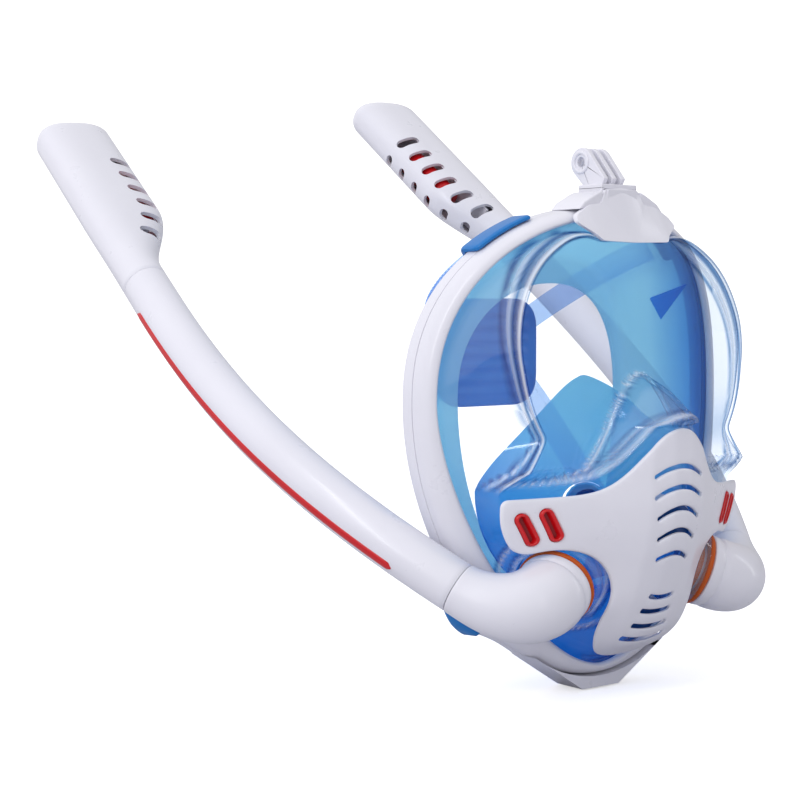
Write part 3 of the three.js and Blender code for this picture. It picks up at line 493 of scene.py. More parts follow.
def circle(r, sides=72):
    a = np.linspace(0, 2 * math.pi, sides, endpoint=False)
    return np.stack([r * np.cos(a), r * np.sin(a)], -1)


# ---------- materials ----------
class Nodes:
    """Short names for building a node tree."""

    def __init__(self, name):
        self.material = bpy.data.materials.new(name)
        self.material.use_nodes = True
        self.tree = self.material.node_tree
        self.tree.nodes.clear()
        self.output = self.add("ShaderNodeOutputMaterial")
        self.place = self.add("ShaderNodeTexCoord").outputs["Object"]

    def add(self, kind, **values):
        node = self.tree.nodes.new(kind)
        for key, value in values.items():
            setattr(node, key, value)
        return node

    def link(self, source, target):
        self.tree.links.new(source, target)

    def noise(self, scale, detail=3, roughness=0.5):
        node = self.add("ShaderNodeTexNoise")
        node.inputs["Scale"].default_value = scale
        node.inputs["Detail"].default_value = detail
        node.inputs["Roughness"].default_value = roughness
        self.link(self.place, node.inputs["Vector"])
        return node.outputs["Fac"]

    def ramp(self, source, stops):
        node = self.add("ShaderNodeValToRGB")
        elements = node.color_ramp.elements
        while len(elements) < len(stops):
            elements.new(0.5)
        for element, (at, colour) in zip(elements, stops):
            element.position = at
            element.color = (*colour, 1)
        self.link(source, node.inputs["Fac"])
        return node.outputs["Color"]

    def spread(self, source, low, high):
        node = self.add("ShaderNodeMapRange")
        node.inputs["To Min"].default_value = low
        node.inputs["To Max"].default_value = high
        self.link(source, node.inputs["Value"])
        return node.outputs["Result"]

    def bump(self, source, strength, distance):
        node = self.add("ShaderNodeBump")
        node.inputs["Strength"].default_value = strength
        node.inputs["Distance"].default_value = distance
        self.link(source, node.inputs["Height"])
        return node.outputs["Normal"]

    def principled(self, **values):
        node = self.add("ShaderNodeBsdfPrincipled")
        for key, value in values.items():
            node.inputs[key].default_value = value
        return node

    def mix(self, factor, a, b):
        node = self.add("ShaderNodeMixShader")
        if isinstance(factor, float):
            node.inputs[0].default_value = factor
        else:
            self.link(factor, node.inputs[0])
        self.link(a, node.inputs[1])
        self.link(b, node.inputs[2])
        return node.outputs[0]

    def finish(self, shader):
        self.link(shader, self.output.inputs["Surface"])
        return self.material


def moulded(name, light, dark, rough=(0.24, 0.34), grain=0.05, coat=0.25):
    """Moulded plastic: faint flow marks in the colour, a fine texture and a soft polish."""
    n = Nodes(name)
    shader = n.principled(**{"Coat Weight": coat, "Coat Roughness": 0.12, "IOR": 1.48})
    flow = n.noise(14, 4, 0.6)
    n.link(n.ramp(flow, [(0.3, dark), (0.7, light)]), shader.inputs["Base Color"])
    n.link(n.spread(n.noise(60, 4, 0.65), *rough), shader.inputs["Roughness"])
    n.link(n.bump(n.noise(1800, 2, 0.5), grain, 0.0002), shader.inputs["Normal"])
    return n.finish(shader.outputs[0])


def clear_pane(name):
    """Clear polycarbonate: a gloss that grows at a slant, with painted highlight lines and painted shade
    lines along its folds, its ledge and round the tube ports.
    """
    n = Nodes(name)
    facing = n.add("ShaderNodeLayerWeight")
    facing.inputs["Blend"].default_value = 0.4
    slant = facing.outputs["Facing"]
    through = n.add("ShaderNodeBsdfTransparent")
    tint = n.ramp(slant, [(0.0, (0.985, 0.99, 1.0)), (0.55, (0.93, 0.955, 0.985)),
                          (0.82, (0.62, 0.74, 0.86)), (1.0, (0.16, 0.28, 0.44))])
    # Painted shade: navy lines along the folds, the ledge and round the tube ports are mixed into the pane's
    # tint.
    shade = n.add("ShaderNodeMix", data_type="RGBA")
    n.link(n.add("ShaderNodeAttribute", attribute_name="painted_fold_shade").outputs["Fac"], shade.inputs["Factor"])
    n.link(tint, shade.inputs["A"])
    shade.inputs["B"].default_value = (0.06, 0.22, 0.46, 1)
    n.link(shade.outputs["Result"], through.inputs["Color"])
    gloss = n.add("ShaderNodeBsdfGlossy")
    n.link(n.spread(n.noise(220, 3, 0.6), 0.03, 0.07), gloss.inputs["Roughness"])
    n.link(n.bump(n.noise(30, 3, 0.5), 0.02, 0.0006), gloss.inputs["Normal"])
    shares = ((0.0, 0.04), (0.5, 0.07), (0.75, 0.16), (1.0, 0.6))
    amount = n.ramp(slant, [(at, (share,) * 3) for at, share in shares])
    pane = n.mix(amount, through.outputs[0], gloss.outputs[0])
    # Painted highlight: a whitish layer is mixed over the pane along the folds, the ledge and round the tube
    # ports.
    lit = n.principled(**{"Base Color": (0.93, 0.95, 1.0, 1), "Roughness": 0.2})
    pale = n.add("ShaderNodeAttribute", attribute_name="painted_fold_highlight").outputs["Fac"]
    return n.finish(n.mix(pale, pane, lit.outputs[0]))


SKIRT_SIZE = (LIP["half"], 112)  # half width and half height over which silicone changes its shade


def silicone(name, deep, pale, see=0.2, rough=(0.28, 0.42), glow=0.45, spread=(0.0, 1.0)):
    """Translucent silicone: light passes through it, and it pales from its outer edge to its inner lip."""
    n = Nodes(name)
    scaled = n.add("ShaderNodeVectorMath", operation="MULTIPLY")
    scaled.inputs[1].default_value = (1 / (SKIRT_SIZE[0] * MM), 0, 1 / (SKIRT_SIZE[1] * MM))
    n.link(n.place, scaled.inputs[0])
    reach = n.add("ShaderNodeVectorMath", operation="LENGTH")
    n.link(scaled.outputs[0], reach.inputs[0])
    blend = n.add("ShaderNodeMapRange")
    blend.inputs["From Min"].default_value, blend.inputs["From Max"].default_value = spread
    n.link(reach.outputs["Value"], blend.inputs["Value"])
    mottled = n.add("ShaderNodeMath", operation="MULTIPLY_ADD")
    n.link(n.noise(9, 3, 0.5), mottled.inputs[0])
    mottled.inputs[1].default_value = 0.3
    n.link(blend.outputs["Result"], mottled.inputs[2])
    middle = tuple((a + b) / 2 for a, b in zip(deep, pale))
    colour = n.ramp(mottled.outputs[0], [(0.12, pale), (0.55, middle), (1.0, deep)])
    body = n.principled(**{"Coat Weight": 0.2, "Coat Roughness": 0.2, "IOR": 1.43})
    n.link(colour, body.inputs["Base Color"])
    n.link(n.spread(n.noise(45, 4, 0.6), *rough), body.inputs["Roughness"])
    n.link(n.bump(n.noise(900, 3, 0.55), 0.08, 0.0003), body.inputs["Normal"])
    through = n.add("ShaderNodeBsdfTranslucent")
    n.link(colour, through.inputs["Color"])
    clear = n.add("ShaderNodeBsdfTransparent")
    light = [tuple(min(1, c * 1.1 + 0.1) for c in shade) for shade in (pale, deep)]
    n.link(n.ramp(mottled.outputs[0], [(0.12, light[0]), (1.0, light[1])]), clear.inputs["Color"])
    lit = n.mix(glow, body.outputs[0], through.outputs[0])
    if see <= 0:
        return n.finish(lit)
    return n.finish(n.mix(see, lit, clear.outputs[0]))


WHITE = moulded("white_plastic", (0.80, 0.795, 0.86), (0.77, 0.765, 0.83))
WHITE_INNER = moulded("white_plastic_inner", (0.74, 0.73, 0.80), (0.70, 0.69, 0.77), rough=(0.4, 0.55))
RED = moulded("red_plastic", (0.66, 0.003, 0.008), (0.54, 0.002, 0.006), rough=(0.3, 0.42), coat=0.1)
# A darker copy of the red plastic, as painted shade in the hollow behind each outlet slot.
RED_PAINTED_SHADE = moulded("red_plastic_painted_shade", (0.34, 0.002, 0.008), (0.22, 0.001, 0.006), rough=(0.4, 0.55),
                   coat=0.0)
CLEAR = clear_pane("clear_pane")
BLUE = silicone("blue_silicone", (0.0, 0.36, 0.78), (0.50, 0.80, 1.0), see=0.38, glow=0.6,
                spread=(0.84, 1.08))
CUP_BLUE = silicone("blue_silicone_cup", (0.02, 0.46, 0.92), (0.38, 0.76, 1.0), see=0.4, glow=0.5,
                    spread=(0.35, 1.0))
RIB_BLUE = silicone("blue_silicone_rib", (0.10, 0.50, 0.90), (0.26, 0.62, 0.96), see=0.45, glow=0.6)
STRAP_BLUE = silicone("strap_blue", (0.0, 0.19, 0.58), (0.004, 0.26, 0.70), see=0.0, glow=0.1)
PAD_BLUE = silicone("pad_blue", (0.02, 0.22, 0.58), (0.12, 0.38, 0.76), see=0.36, glow=0.35)
BAND_CLEAR = silicone("band_silicone", (0.50, 0.62, 0.80), (0.62, 0.72, 0.86), see=0.82, glow=0.3)
ORANGE = silicone("orange_gasket", (0.80, 0.15, 0.01), (0.95, 0.30, 0.04), see=0.1, glow=0.35)
FLAP_BLUE = silicone("flap_blue", (0.01, 0.10, 0.40), (0.03, 0.16, 0.50), see=0.0, glow=0.2)

# ---------- frames ----------
STATIONS = 264
FLARE = dict(at=math.radians(-54), spread=math.radians(8), out=9.5)


def flare(angle, back):
    """Extra width of the frame at its lower corners, behind the tubes, where the lower straps hook on."""
    p = egg(RIM, angle)
    direction = math.atan2(p[1], abs(p[0]))
    bump = math.exp(-((direction - FLARE["at"]) / FLARE["spread"]) ** 2)
    return FLARE["out"] * bump * float(smoothstep(4, 15, back))


def frame_ring(profile):
    """A profile of (across, out, back) points carried round the frame."""
    sections = []
    for i in range(STATIONS):
        angle = 2 * math.pi * (i + 0.5) / STATIONS
        sections.append([frame_point(angle, across, out + flare(angle, back) * across, back)
                         for across, out, back in profile])
    return loft(sections, closed_path=True)


FRONT_PROFILE = rounded(
    [(0, -0.5, 1.0), (0.16, 0, -0.6), (0.62, 0, 1.4), (1, -0.2, 6.0), (1, 0.3, 11.7), (1, -2.3, 11.7),
     (1, -2.3, 8), (0, 2.9, 3.2), (0, -0.5, 3.2)],
    [0.8, 0.9, 1.6, 2.4, 0.4, 0.3, 0.5, 0.5, 0.3])
REAR_PROFILE = rounded(
    [(0, 1.1, 8.9), (1, -2.8, 8.9), (1, -2.8, 12.1), (1, 0.3, 12.1), (1, 0.5, 19.2), (1, -1, 20.8),
     (1, -2.8, 19.6), (0, 1.1, 11.6)],
    [0.4, 0.4, 0.2, 0.4, 1.2, 0.8, 0.6, 0.6])
for end, profile in (("front", FRONT_PROFILE), ("rear", REAR_PROFILE)):
    shell = make_object(f"{end}_frame_shell", frame_ring(profile))
    place(shell, WHITE, "white_plastic", "mask", f"{end}_frame")


# ---------- visor ----------
PANE_STATIONS = 400
FLANGE_RINGS = [2.3, 1.8, 1.3, 0.8, 0.2, -0.6, -1.6, -FLANGE_OUT]  # mm inside the lip
HALF_CREASE = [0.3, 0.65, 1, 1.4, 1.9, 2.5, 3.2, 4]
CREASE_RINGS = [-d for d in HALF_CREASE[::-1]] + [0] + HALF_CREASE  # mm from the fold


def crease_reach(way, reach):
    """Distance from the middle of the nose to the visor's fold in each direction."""
    share = np.linspace(1, 0.6, 500)[:, None]
    p = way[None] * share[..., None] + np.array([0, NOSE_Z])
    front, wall, _, _, _ = visor_parts(p[..., 0], p[..., 1])
    first = np.argmax(front > wall, axis=0)
    found = reach * share[first, 0]
    weights = np.exp(-0.5 * (np.arange(-6, 7) / 2.5) ** 2)
    return np.convolve(np.pad(found, 6, mode="wrap"), weights / weights.sum(), mode="valid")


def visor_sheet(thickness):
    """Rings round the nose, gathered along the fold between the front and the side wall."""
    angle = 2 * math.pi * (np.arange(PANE_STATIONS) + 0.5) / PANE_STATIONS
    way = egg(LIP, angle) - np.array([0, NOSE_Z])
    reach = np.linalg.norm(way, axis=1)
    fold = crease_reach(way, reach)
    squeeze = np.clip((reach - fold - 3) / 6, 0.1, 1)
    radii = [np.maximum(0.8, (fold - 4 * squeeze) * f) for f in np.linspace(0.015, 1, 84, endpoint=False)]
    radii += [fold + d * squeeze for d in CREASE_RINGS]
    outer = fold + 4 * squeeze
    radii += [outer + (reach - FLANGE_RINGS[0] - outer) * f for f in np.linspace(0, 1, 9, endpoint=False)[1:]]
    radii += [reach - d for d in FLANGE_RINGS]
    rings = []
    for r in radii:
        p = way / reach[:, None] * r[:, None] + np.array([0, NOSE_Z])
        x, z = p[:, 0], p[:, 1]
        y = visor_y(x, z)
        normal = sheet_normals(visor_y, x, z)
        ring = np.stack([x, y, z], -1) + normal * thickness
        flat = np.stack([x, lip_y(way[:, 0], way[:, 1] + NOSE_Z) + FLANGE_Y + thickness, z], -1)
        rings.append(np.where((reach - r < 1)[:, None], flat, ring))
    return np.array(rings)


VALVE_GAP = 3.3  # from a valve's radius to the edge of its hole
EXHALE = dict(z=-62, r=11, axis=unit((0, -0.98, -0.2)))
PURGE = dict(z=-109, r=8, axis=unit((0, -0.887, -0.461)))


def on_visor(z):
    """The point of the visor's middle line at a height."""
    return np.array([0.0, float(visor_y(np.array(0.0), np.array(float(z)))), z])


def mirror(v, side):
    return np.asarray(v, float) * np.array([side, 1, 1])


def cylinder(base, axis, r, start, end, sides=64):
    return lathe(base, axis, [(start, r), (end, r)], sides)


def port_line(points, middle, half):
    """1 along a ring round each tube port."""
    away = points - PORT
    away[:, 0] = np.abs(points[:, 0]) - PORT[0]
    from_axis = np.linalg.norm(np.cross(away, PORT_AXIS), axis=1)
    return np.exp(-(((from_axis - middle) / half) ** 2))


def mark_folds(mesh):
    """Stores how strongly each point of the pane shows the painted highlight lines and the painted shade
    lines along its folds, its ledge and round the tube ports.
    """
    co = np.empty(len(mesh.vertices) * 3)
    mesh.vertices.foreach_get("co", co)
    points = co.reshape(-1, 3) / MM
    x, _, z = points.T
    _, _, _, rise, _ = visor_parts(x, z)
    above = smoothstep(-4, 2, rise)
    # Painted highlight lines and painted shade lines, each point taking the strongest of its lines.
    marks = {
        "painted_fold_highlight": [
            0.6 * above * crease_line(x, z, 0.1, 0.5), 0.42 * above * ledge_line(x, z, 0.8, 0.8),
            0.4 * port_line(points, 22.2, 0.8), 0.4 * port_line(points, 29.5, 0.7)],
        "painted_fold_shade": [
            above * crease_line(x, z, 1.35, 0.5), 0.8 * above * crease_line(x, z, -1.2, 0.45),
            0.55 * above * ledge_line(x, z, 2.6, 0.7),
            0.6 * port_line(points, 24.2, 0.8), 0.6 * port_line(points, 31.2, 0.8)],
    }
    for key, lines in marks.items():
        values = np.max(lines, axis=0).astype(np.float32)
        mesh.attributes.new(key, "FLOAT", "POINT").data.foreach_set("value", values)


def make_visor():
    visor = make_object("visor_shell", dish(visor_sheet(0), visor_sheet(VISOR_THICK)), 60)
    pockets, bosses, bores = [], [], []
    for side in (1, -1):
        base, axis = mirror(PORT, side), mirror(PORT_AXIS, side)
        pockets.append(cylinder(base, axis, PORT_R + 1.9, -3.4, 30))
        boss = [(-13, PORT_R + 2.1), (-4.2, PORT_R + 2.1), (-3.5, PORT_R + 1.6), (-3.4, PORT_R)]
        bosses.append(lathe(base, axis, boss))
        bores.append(cylinder(base, axis, BORE_R, -40, 1))
    for valve in (EXHALE, PURGE):
        bores.append(cylinder(on_visor(valve["z"]), valve["axis"], valve["r"] + VALVE_GAP, -9, 9))
    boolean(visor, make_object("cutter", joined(*pockets)), "DIFFERENCE")
    boolean(visor, make_object("cutter", joined(*bosses)), "UNION")
    boolean(visor, make_object("cutter", joined(*bores)), "DIFFERENCE")
    mark_folds(visor.data)
    place(visor, CLEAR, "clear_pane", "mask", "visor")


make_visor()


# ---------- chin cover ----------
# half width, height and curve of each vent
VENTS = [
    (16.8, -30.7, 4.8), (16.6, -41, 4.9), (14.5, -51.5, 4.8), (12.9, -62.6, 4.2), (11, -74.4, 2.8),
    (8.6, -97.7, -1), (10.5, -105.4, -1), (12.3, -113.5, -1.2), (15.2, -121, -1.8),
]
VENT_HEIGHT = 2.4
COVER_THICK = 1.8
TRIM_SLOTS = dict(outer=(72.3, -60.3, 0.5), inner=(61.8, -58.2, 0.47))
TRIM = dict(length=18, width=6.2)


def cover_outline():
    """The cover's edge: its upper line, then curves down the cheek, round the port and to the chin."""
    xs = np.linspace(0, 80, 48)
    half = [np.array([x, float(cover_top_z(x))]) for x in xs]
    for curve in (
        [half[-1], (84.5, half[-1][1]), (84, -51)],
        [(84, -51), (84, -61), (78, -69)],
        [(78, -69), (74, -74), (66, -72)],
        [(66, -72), (50, -68), (32, -74), (29, -92)],
        [(29, -92), (28, -101), (31, -106), (30, -114)],
        [(30, -114), (28, -126), (14, -132), (0, -132)],
    ):
        half += list(bezier(curve, np.linspace(0, 1, 13)[1:]))
    other = [p * np.array([-1, 1]) for p in half[1:-1]][::-1]
    return np.array(half + other)


def vent_outline(vent):
    half, middle, rise = vent
    t = np.linspace(-1, 1, 25)
    x, z = t * (half - VENT_HEIGHT / 2), middle - rise * t * t
    upper = [np.array(p) for p in zip(x, z + VENT_HEIGHT / 2)]
    lower = [np.array(p) for p in zip(x, z - VENT_HEIGHT / 2)][::-1]
    ends = []
    for sign, line in ((1, upper), (-1, lower)):
        a = math.pi / 2 * (sign - 1) + np.linspace(math.pi / 2, -math.pi / 2, 8)[1:-1]
        centre = np.array([sign * (half - VENT_HEIGHT / 2), middle - rise])
        ends.append([centre + VENT_HEIGHT / 2 * np.array([math.cos(k), math.sin(k)]) for k in a])
    return np.array(upper + ends[0] + lower + ends[1])


def racetrack(length, width, x, z, turn, steps=12):
    """A slot's outline with round ends, leaning by turn."""
    straight, points = (length - width) / 2, []
    cos_turn, sin_turn = math.cos(turn), math.sin(turn)
    for end in (1, -1):
        for i in range(steps + 1):
            a = math.pi / 2 * (1 - end) + math.pi * i / steps
            u, v = width / 2 * math.cos(a), end * straight + width / 2 * math.sin(a)
            points.append((x + u * cos_turn + v * sin_turn, z - u * sin_turn + v * cos_turn))
    return np.array(points)


def make_cover():
    holes = [vent_outline(v) for v in VENTS]
    for x, z, turn in TRIM_SLOTS.values():
        holes += [racetrack(TRIM["length"], TRIM["width"], s * x, z, s * turn) for s in (1, -1)]
    cover = make_object("chin_cover_shell", plate(cover_outline(), holes, cover_y, COVER_THICK), 50)
    place(cover, WHITE, "white_plastic", "mask", "chin_cover")


make_cover()


# (inset, back) of the points round a trim's wall and a bed's edge
TRIM_PROFILE = [(0, 3.2), (0, 0.1), (0.15, -0.55), (0.5, -0.95), (0.95, -0.95), (1.35, -0.6), (1.6, 0.1),
                (1.6, 3.2)]
BED_PROFILE = [(1.45, 2.5), (1.45, 3.2)]


def on_cover(outline, inset, back):
    """A slot's outline drawn on the cover, inset towards its middle and moved back."""
    x, z = shrunk(outline, inset).T
    return np.stack([x, cover_y(x, z) + back, z], -1)


def make_slot_trims():
    """Each outlet slot has a red rim and a red bed behind it, the bed coloured darker than the rim as painted
    shade in the slot's hollow.
    """
    length, width = TRIM["length"] - 0.2, TRIM["width"] - 0.2
    for name, side in (("right", -1), ("left", 1)):
        for which, (x, z, turn) in TRIM_SLOTS.items():
            outer = resampled(racetrack(length, width, side * x, z, side * turn, 16), 0.5)
            rim = loft([on_cover(outer, *step) for step in TRIM_PROFILE], closed_path=True)
            trim = make_object(f"slot_rim_{name}_{which}", rim, 50)
            place(trim, RED, "red_plastic", "mask", f"slot_trim_{name}_{which}")
            floor = loft([on_cover(outer, *step) for step in BED_PROFILE])
            # The bed's darker red is painted shade in the slot's hollow.
            place(make_object(f"slot_bed_{name}_{which}", floor, 50), RED_PAINTED_SHADE, "red_plastic", "mask")


make_slot_trims()


# ---------- clips and camera mount ----------
def box_shape(low, high):
    x, y, z = zip(low, high)
    corners = [(a, b, c) for a in x for b in y for c in z]
    faces = [(0, 1, 3, 2), (4, 6, 7, 5), (0, 4, 5, 1), (2, 3, 7, 6), (0, 2, 6, 4), (1, 5, 7, 3)]
    return np.array(corners, float), faces


def block(half):
    """A box centred on the origin, given as its half sizes."""
    return box_shape([-h for h in half], half)


def both_sides(half):
    """A symmetric outline from the points of its half with x of 0 or more."""
    return [np.asarray(p, float) for p in half] + [np.array([-p[0], p[1]]) for p in half[::-1] if p[0] > 0]


def make_top_clip():
    """Plate on the forehead, bent back to follow the frame, with a block behind it for the camera mount."""
    face = rounded(both_sides([(0, 80), (23, 80.6), (26, 84), (34.5, 89.4), (33, 93.5), (24, 98.6), (15, 100),
                               (11.5, 107), (0, 108)]), 1.6, 3)
    verts, faces = prism(face, -12.4, -9.4)
    z = verts[:, 2]
    verts[:, 1] += 1.2 + 0.75 * np.clip(z - 81, 0, 12) + 0.15 * np.maximum(0, z - 93)
    shoe = rounded([(-10.5, 94), (10.5, 94), (10.5, 107), (-10.5, 107)], 1.2, 3)
    clip = make_object("top_clip_shell", joined((verts, faces), prism(shoe, -1, 10)))
    place(bevel(clip, 0.8), WHITE, "white_plastic", "mask", "top_clip")


def rim_arc(start, end, count, gap):
    """Points along the frame's rim between two angles in degrees, raised by gap."""
    return [tuple(egg(RIM, a) + (0, gap)) for a in np.linspace(math.radians(start), math.radians(end), count)]


def make_saddle():
    """Sloping shoulders beside the forehead clip, with a groove for each jaw of the camera mount's foot."""
    left = [(26, 100.4), (17, 105), (13.4, 106.4), (13.4, 103.2), (10.5, 103.2), (10.5, 107)]
    outline = rim_arc(104, 76, 15, 0.5) + left + [(-x, z) for x, z in left[::-1]]
    saddle = make_object("top_clip_saddle", prism(outline, -0.4, 21))
    place(bevel(saddle, 0.8), WHITE, "white_plastic", "mask")


def make_bottom_clip():
    """Cap under the chin, with a slot in its underside."""
    cap = prism(rim_arc(-64, -116, 25, -0.5) + [(-13, -150.4), (13, -150.4)], 12.5, 32)
    clip = make_object("bottom_clip_shell", cap)
    slot = make_object("cutter", box_shape((-4.5, 12.7, -153), (4.5, 17.3, -145)))
    boolean(clip, slot, "DIFFERENCE")
    place(bevel(clip, 0.7), WHITE, "white_plastic", "mask", "bottom_clip")


make_top_clip()
make_saddle()
make_bottom_clip()

MOUNT = dict(pitch=6.1, prong=3, head=np.array([22.0, 122.0]), r=7.5, foot=np.array([9.0, 108.2]), hole=2.6)
BOSS_PROFILE = [(-0.2, 4.0), (0.5, 4.1), (0.8, 4.5), (0.8, 5.5), (0.5, 5.9), (-0.2, 6.0)]


def make_camera_mount():
    """Three prongs with a screw hole, leaning back on a shoe with two jaws."""
    along = MOUNT["head"] - MOUNT["foot"]
    length, along = np.linalg.norm(along), unit(along)
    across = np.array([-along[1], along[0]])

    def turned(points):
        return [MOUNT["foot"] + along * u + across * v for u, v in points]

    def arc(r, angles):
        return [(length + r * math.cos(a), r * math.sin(a)) for a in angles]

    head = arc(MOUNT["r"], [math.radians(a) for a in range(-90, 91, 12)])
    outline = turned([(-3, -6.5)] + head + [(0.5, 6.5)])
    hole = turned(arc(MOUNT["hole"], np.linspace(0, 2 * math.pi, 32, endpoint=False)))
    parts = []
    for k in (-1, 0, 1):
        middle = k * MOUNT["pitch"]
        verts, faces = prism(outline, middle - MOUNT["prong"] / 2, middle + MOUNT["prong"] / 2, [hole])
        parts.append((verts[:, [1, 0, 2]], faces))
    parts.append(box_shape((-12.5, 1.5, 107.35), (12.5, 18.5, 109.9)))
    parts += [box_shape((s * 11.7 - 0.8, 1.5, 103.9), (s * 11.7 + 0.8, 18.5, 108.5)) for s in (1, -1)]
    mount = bevel(make_object("camera_mount_shell", joined(*parts), 30), 0.45)
    place(mount, WHITE, "white_plastic", "camera_mount", "camera_mount")
    outside = MOUNT["pitch"] + MOUNT["prong"] / 2
    rings = [lathe(np.array([side * outside, *MOUNT["head"]]), (side, 0, 0), BOSS_PROFILE, closed=True)
             for side in (1, -1)]
    place(make_object("camera_mount_rings", joined(*rings)), WHITE, "white_plastic", "camera_mount")


make_camera_mount()

# ---------- soft inner parts ----------
FACE_RIM = dict(half=75, top=78, bottom=122, top_power=2.2, bottom_power=2)
FACE_OPENING = dict(half=57, top=60, bottom=108, top_power=2.2, bottom_power=2)


def skirt_rear(x):
    return 57 + 17 * (x / FACE_RIM["half"]) ** 2


def behind(p, gap):
    """A point of the skirt's rear end, gap behind its edge."""
    return np.array([p[0], skirt_rear(p[0]) + gap, p[1]])


def make_skirt():
    """Wall from the frame's lip back to the face, with a soft edge turned in round the face opening."""
    sections = []
    for i in range(STATIONS):
        angle = 2 * math.pi * (i + 0.5) / STATIONS
        rear, edge = egg(FACE_RIM, angle), egg(FACE_OPENING, angle)
        inner = np.array([rear[0] * 0.97, skirt_rear(rear[0]) - 3, rear[1] * 0.97])
        ring = [frame_point(angle, 0, 2.2, 6.2), frame_point(angle, 0, -1.8, 6.2),
                frame_point(angle, 0, -2.8, 10.5), inner, behind(edge, -6), behind(edge, -4), behind(rear, 0),
                frame_point(angle, 0, -0.4, 13), frame_point(angle, 0, 0.6, 8.6),
                frame_point(angle, 0, 2.2, 8.6)]
        sections.append(rounded(ring, [0.4, 1.5, 3, 7, 0.9, 0.9, 7, 3, 1, 0.4], 4))
    skirt = make_object("face_skirt_soft", loft(sections, closed_path=True), 70)
    place(skirt, BLUE, "blue_silicone", "mask", "face_skirt")


make_skirt()

GUSSET = np.array([(77.1, 26.0, 59.9), (69.6, 46.6, 52.2), (78.7, 46.8, 40.5)])


def make_gussets():
    """Small triangular ribs inside the skirt at the temples."""
    inward = unit(np.cross(GUSSET[1] - GUSSET[0], GUSSET[2] - GUSSET[0]))
    inward = inward if inward[0] < 0 else -inward
    for name, side in (("right", -1), ("left", 1)):
        rings = [mirror(GUSSET + inward * rise, side) for rise in (-0.8, 1.2)]
        rib = bevel(make_object(f"skirt_rib_{name}", loft(rings)), 0.5)
        place(rib, RIB_BLUE, "blue_silicone", "mask")


make_gussets()

CUP = dict(half=67, top=58, bottom=62, top_power=1.4, bottom_power=2)
CUP_Z, CUP_GAP = -46, 18  # height of its middle, and how far it stays behind the chin cover
INHALE = dict(x=36, z=-50, r=8, axis=unit((0.482, -0.876, 0)))


def cup_height(x, z):
    """The cup follows the chin cover in the middle and turns back to the face at its edge."""
    height = np.where(z > CUP_Z, CUP["top"], CUP["bottom"])
    share = np.minimum(1, np.hypot(x / CUP["half"], (z - CUP_Z) / height))
    front = cover_y(x, np.minimum(z, -14)) + CUP_GAP + 0.5 * np.maximum(0, z + 24)
    rim = 27 + 8 * (x / CUP["half"]) ** 2
    return front + (rim - front) * smoothstep(0.5, 1.02, share)


def cup_sheet(thickness):
    angle = 2 * math.pi * (np.arange(180) + 0.5) / 180
    edge = egg(CUP, angle)
    rings = []
    for f in np.linspace(0.03, 1, 34):
        x, z = edge[:, 0] * f, edge[:, 1] * f + CUP_Z
        p = np.stack([x, cup_height(x, z), z], -1)
        rings.append(p + sheet_normals(cup_height, x, z) * thickness)
    return np.array(rings)


def on_cup(side):
    """The middle of the inhale valve's hole in the cup."""
    y = float(cover_y(np.array(INHALE["x"]), np.array(float(INHALE["z"])))) + CUP_GAP
    return np.array([side * INHALE["x"], y, INHALE["z"]])


def make_cup():
    cup = make_object("nose_cup_soft", dish(cup_sheet(0), cup_sheet(2)), 60)
    holes = [cylinder(on_visor(v["z"]), v["axis"], v["r"] + VALVE_GAP, -40, 5) for v in (EXHALE, PURGE)]
    holes += [cylinder(on_cup(s), mirror(INHALE["axis"], s), INHALE["r"] + VALVE_GAP, -14, 14)
              for s in (1, -1)]
    boolean(cup, make_object("cutter", joined(*holes)), "DIFFERENCE")
    place(cup, CUP_BLUE, "blue_silicone", "mask", "nose_cup")


make_cup()


# ---------- ports, elbows, tubes and heads ----------
BEND_START = unit(BEND[1] - BEND[0])
END_WAY = unit(BEND[3] - BEND[2])
COLLAR = BEND[3] + END_WAY * TUBE_STRAIGHT
ELBOW_PATH = [PORT + PORT_AXIS * 2, PORT + PORT_AXIS * 24, BEND[0] - BEND_START * 24,
              BEND[0] - BEND_START * 0.15]
elbow_radius = smooth_table([0, 0.15, 0.4, 0.7, 0.9, 1], [18.9, 19.2, 18.4, 15.6, 13.6, 13.06], 0.05)
HEAD_UP = unit((0, -END_WAY[2], END_WAY[1]))
HEAD_IN = unit(np.array([-1.0, 0, 0]) + END_WAY * END_WAY[0])
SPIGOT_PROFILE = [(-9, BORE_R - 2.0), (-8.6, BORE_R - 1.6), (0, BORE_R - 1.6), (0.1, PORT_R - 0.5),
                  (0.4, PORT_R - 0.1), (0.9, PORT_R), (1.8, PORT_R)]


def elbow_shape():
    """Spigot, rim with a groove behind it, the bend, and a chamfer at the seam."""
    path = bezier(ELBOW_PATH, np.linspace(0, 1, 60))
    planes = [np.array([across, up]) for _, across, up in frames_along(path, (1, 0, 0))]
    outer = [PORT + PORT_AXIS * s + circle(r) @ planes[0] for s, r in SPIGOT_PROFILE]
    end = float(elbow_radius(1))
    for i, p in enumerate(path[1:-1], 1):
        groove = 0.9 * math.exp(-((np.linalg.norm(p - path[0]) - 3.2) / 0.8) ** 2)
        outer.append(p + circle(float(elbow_radius(i / (len(path) - 1))) - groove) @ planes[i])
    outer.append(path[-1] - BEND_START * 0.6 + circle(end) @ planes[-1])
    outer.append(path[-1] + circle(end - 0.5) @ planes[-1])
    inner = [PORT - PORT_AXIS * 9 + circle(TUBE_BORE) @ planes[0]]
    inner += [p + circle(TUBE_BORE) @ plane for p, plane in zip(path, planes)]
    return loft(outer + inner[::-1], closed_path=True)


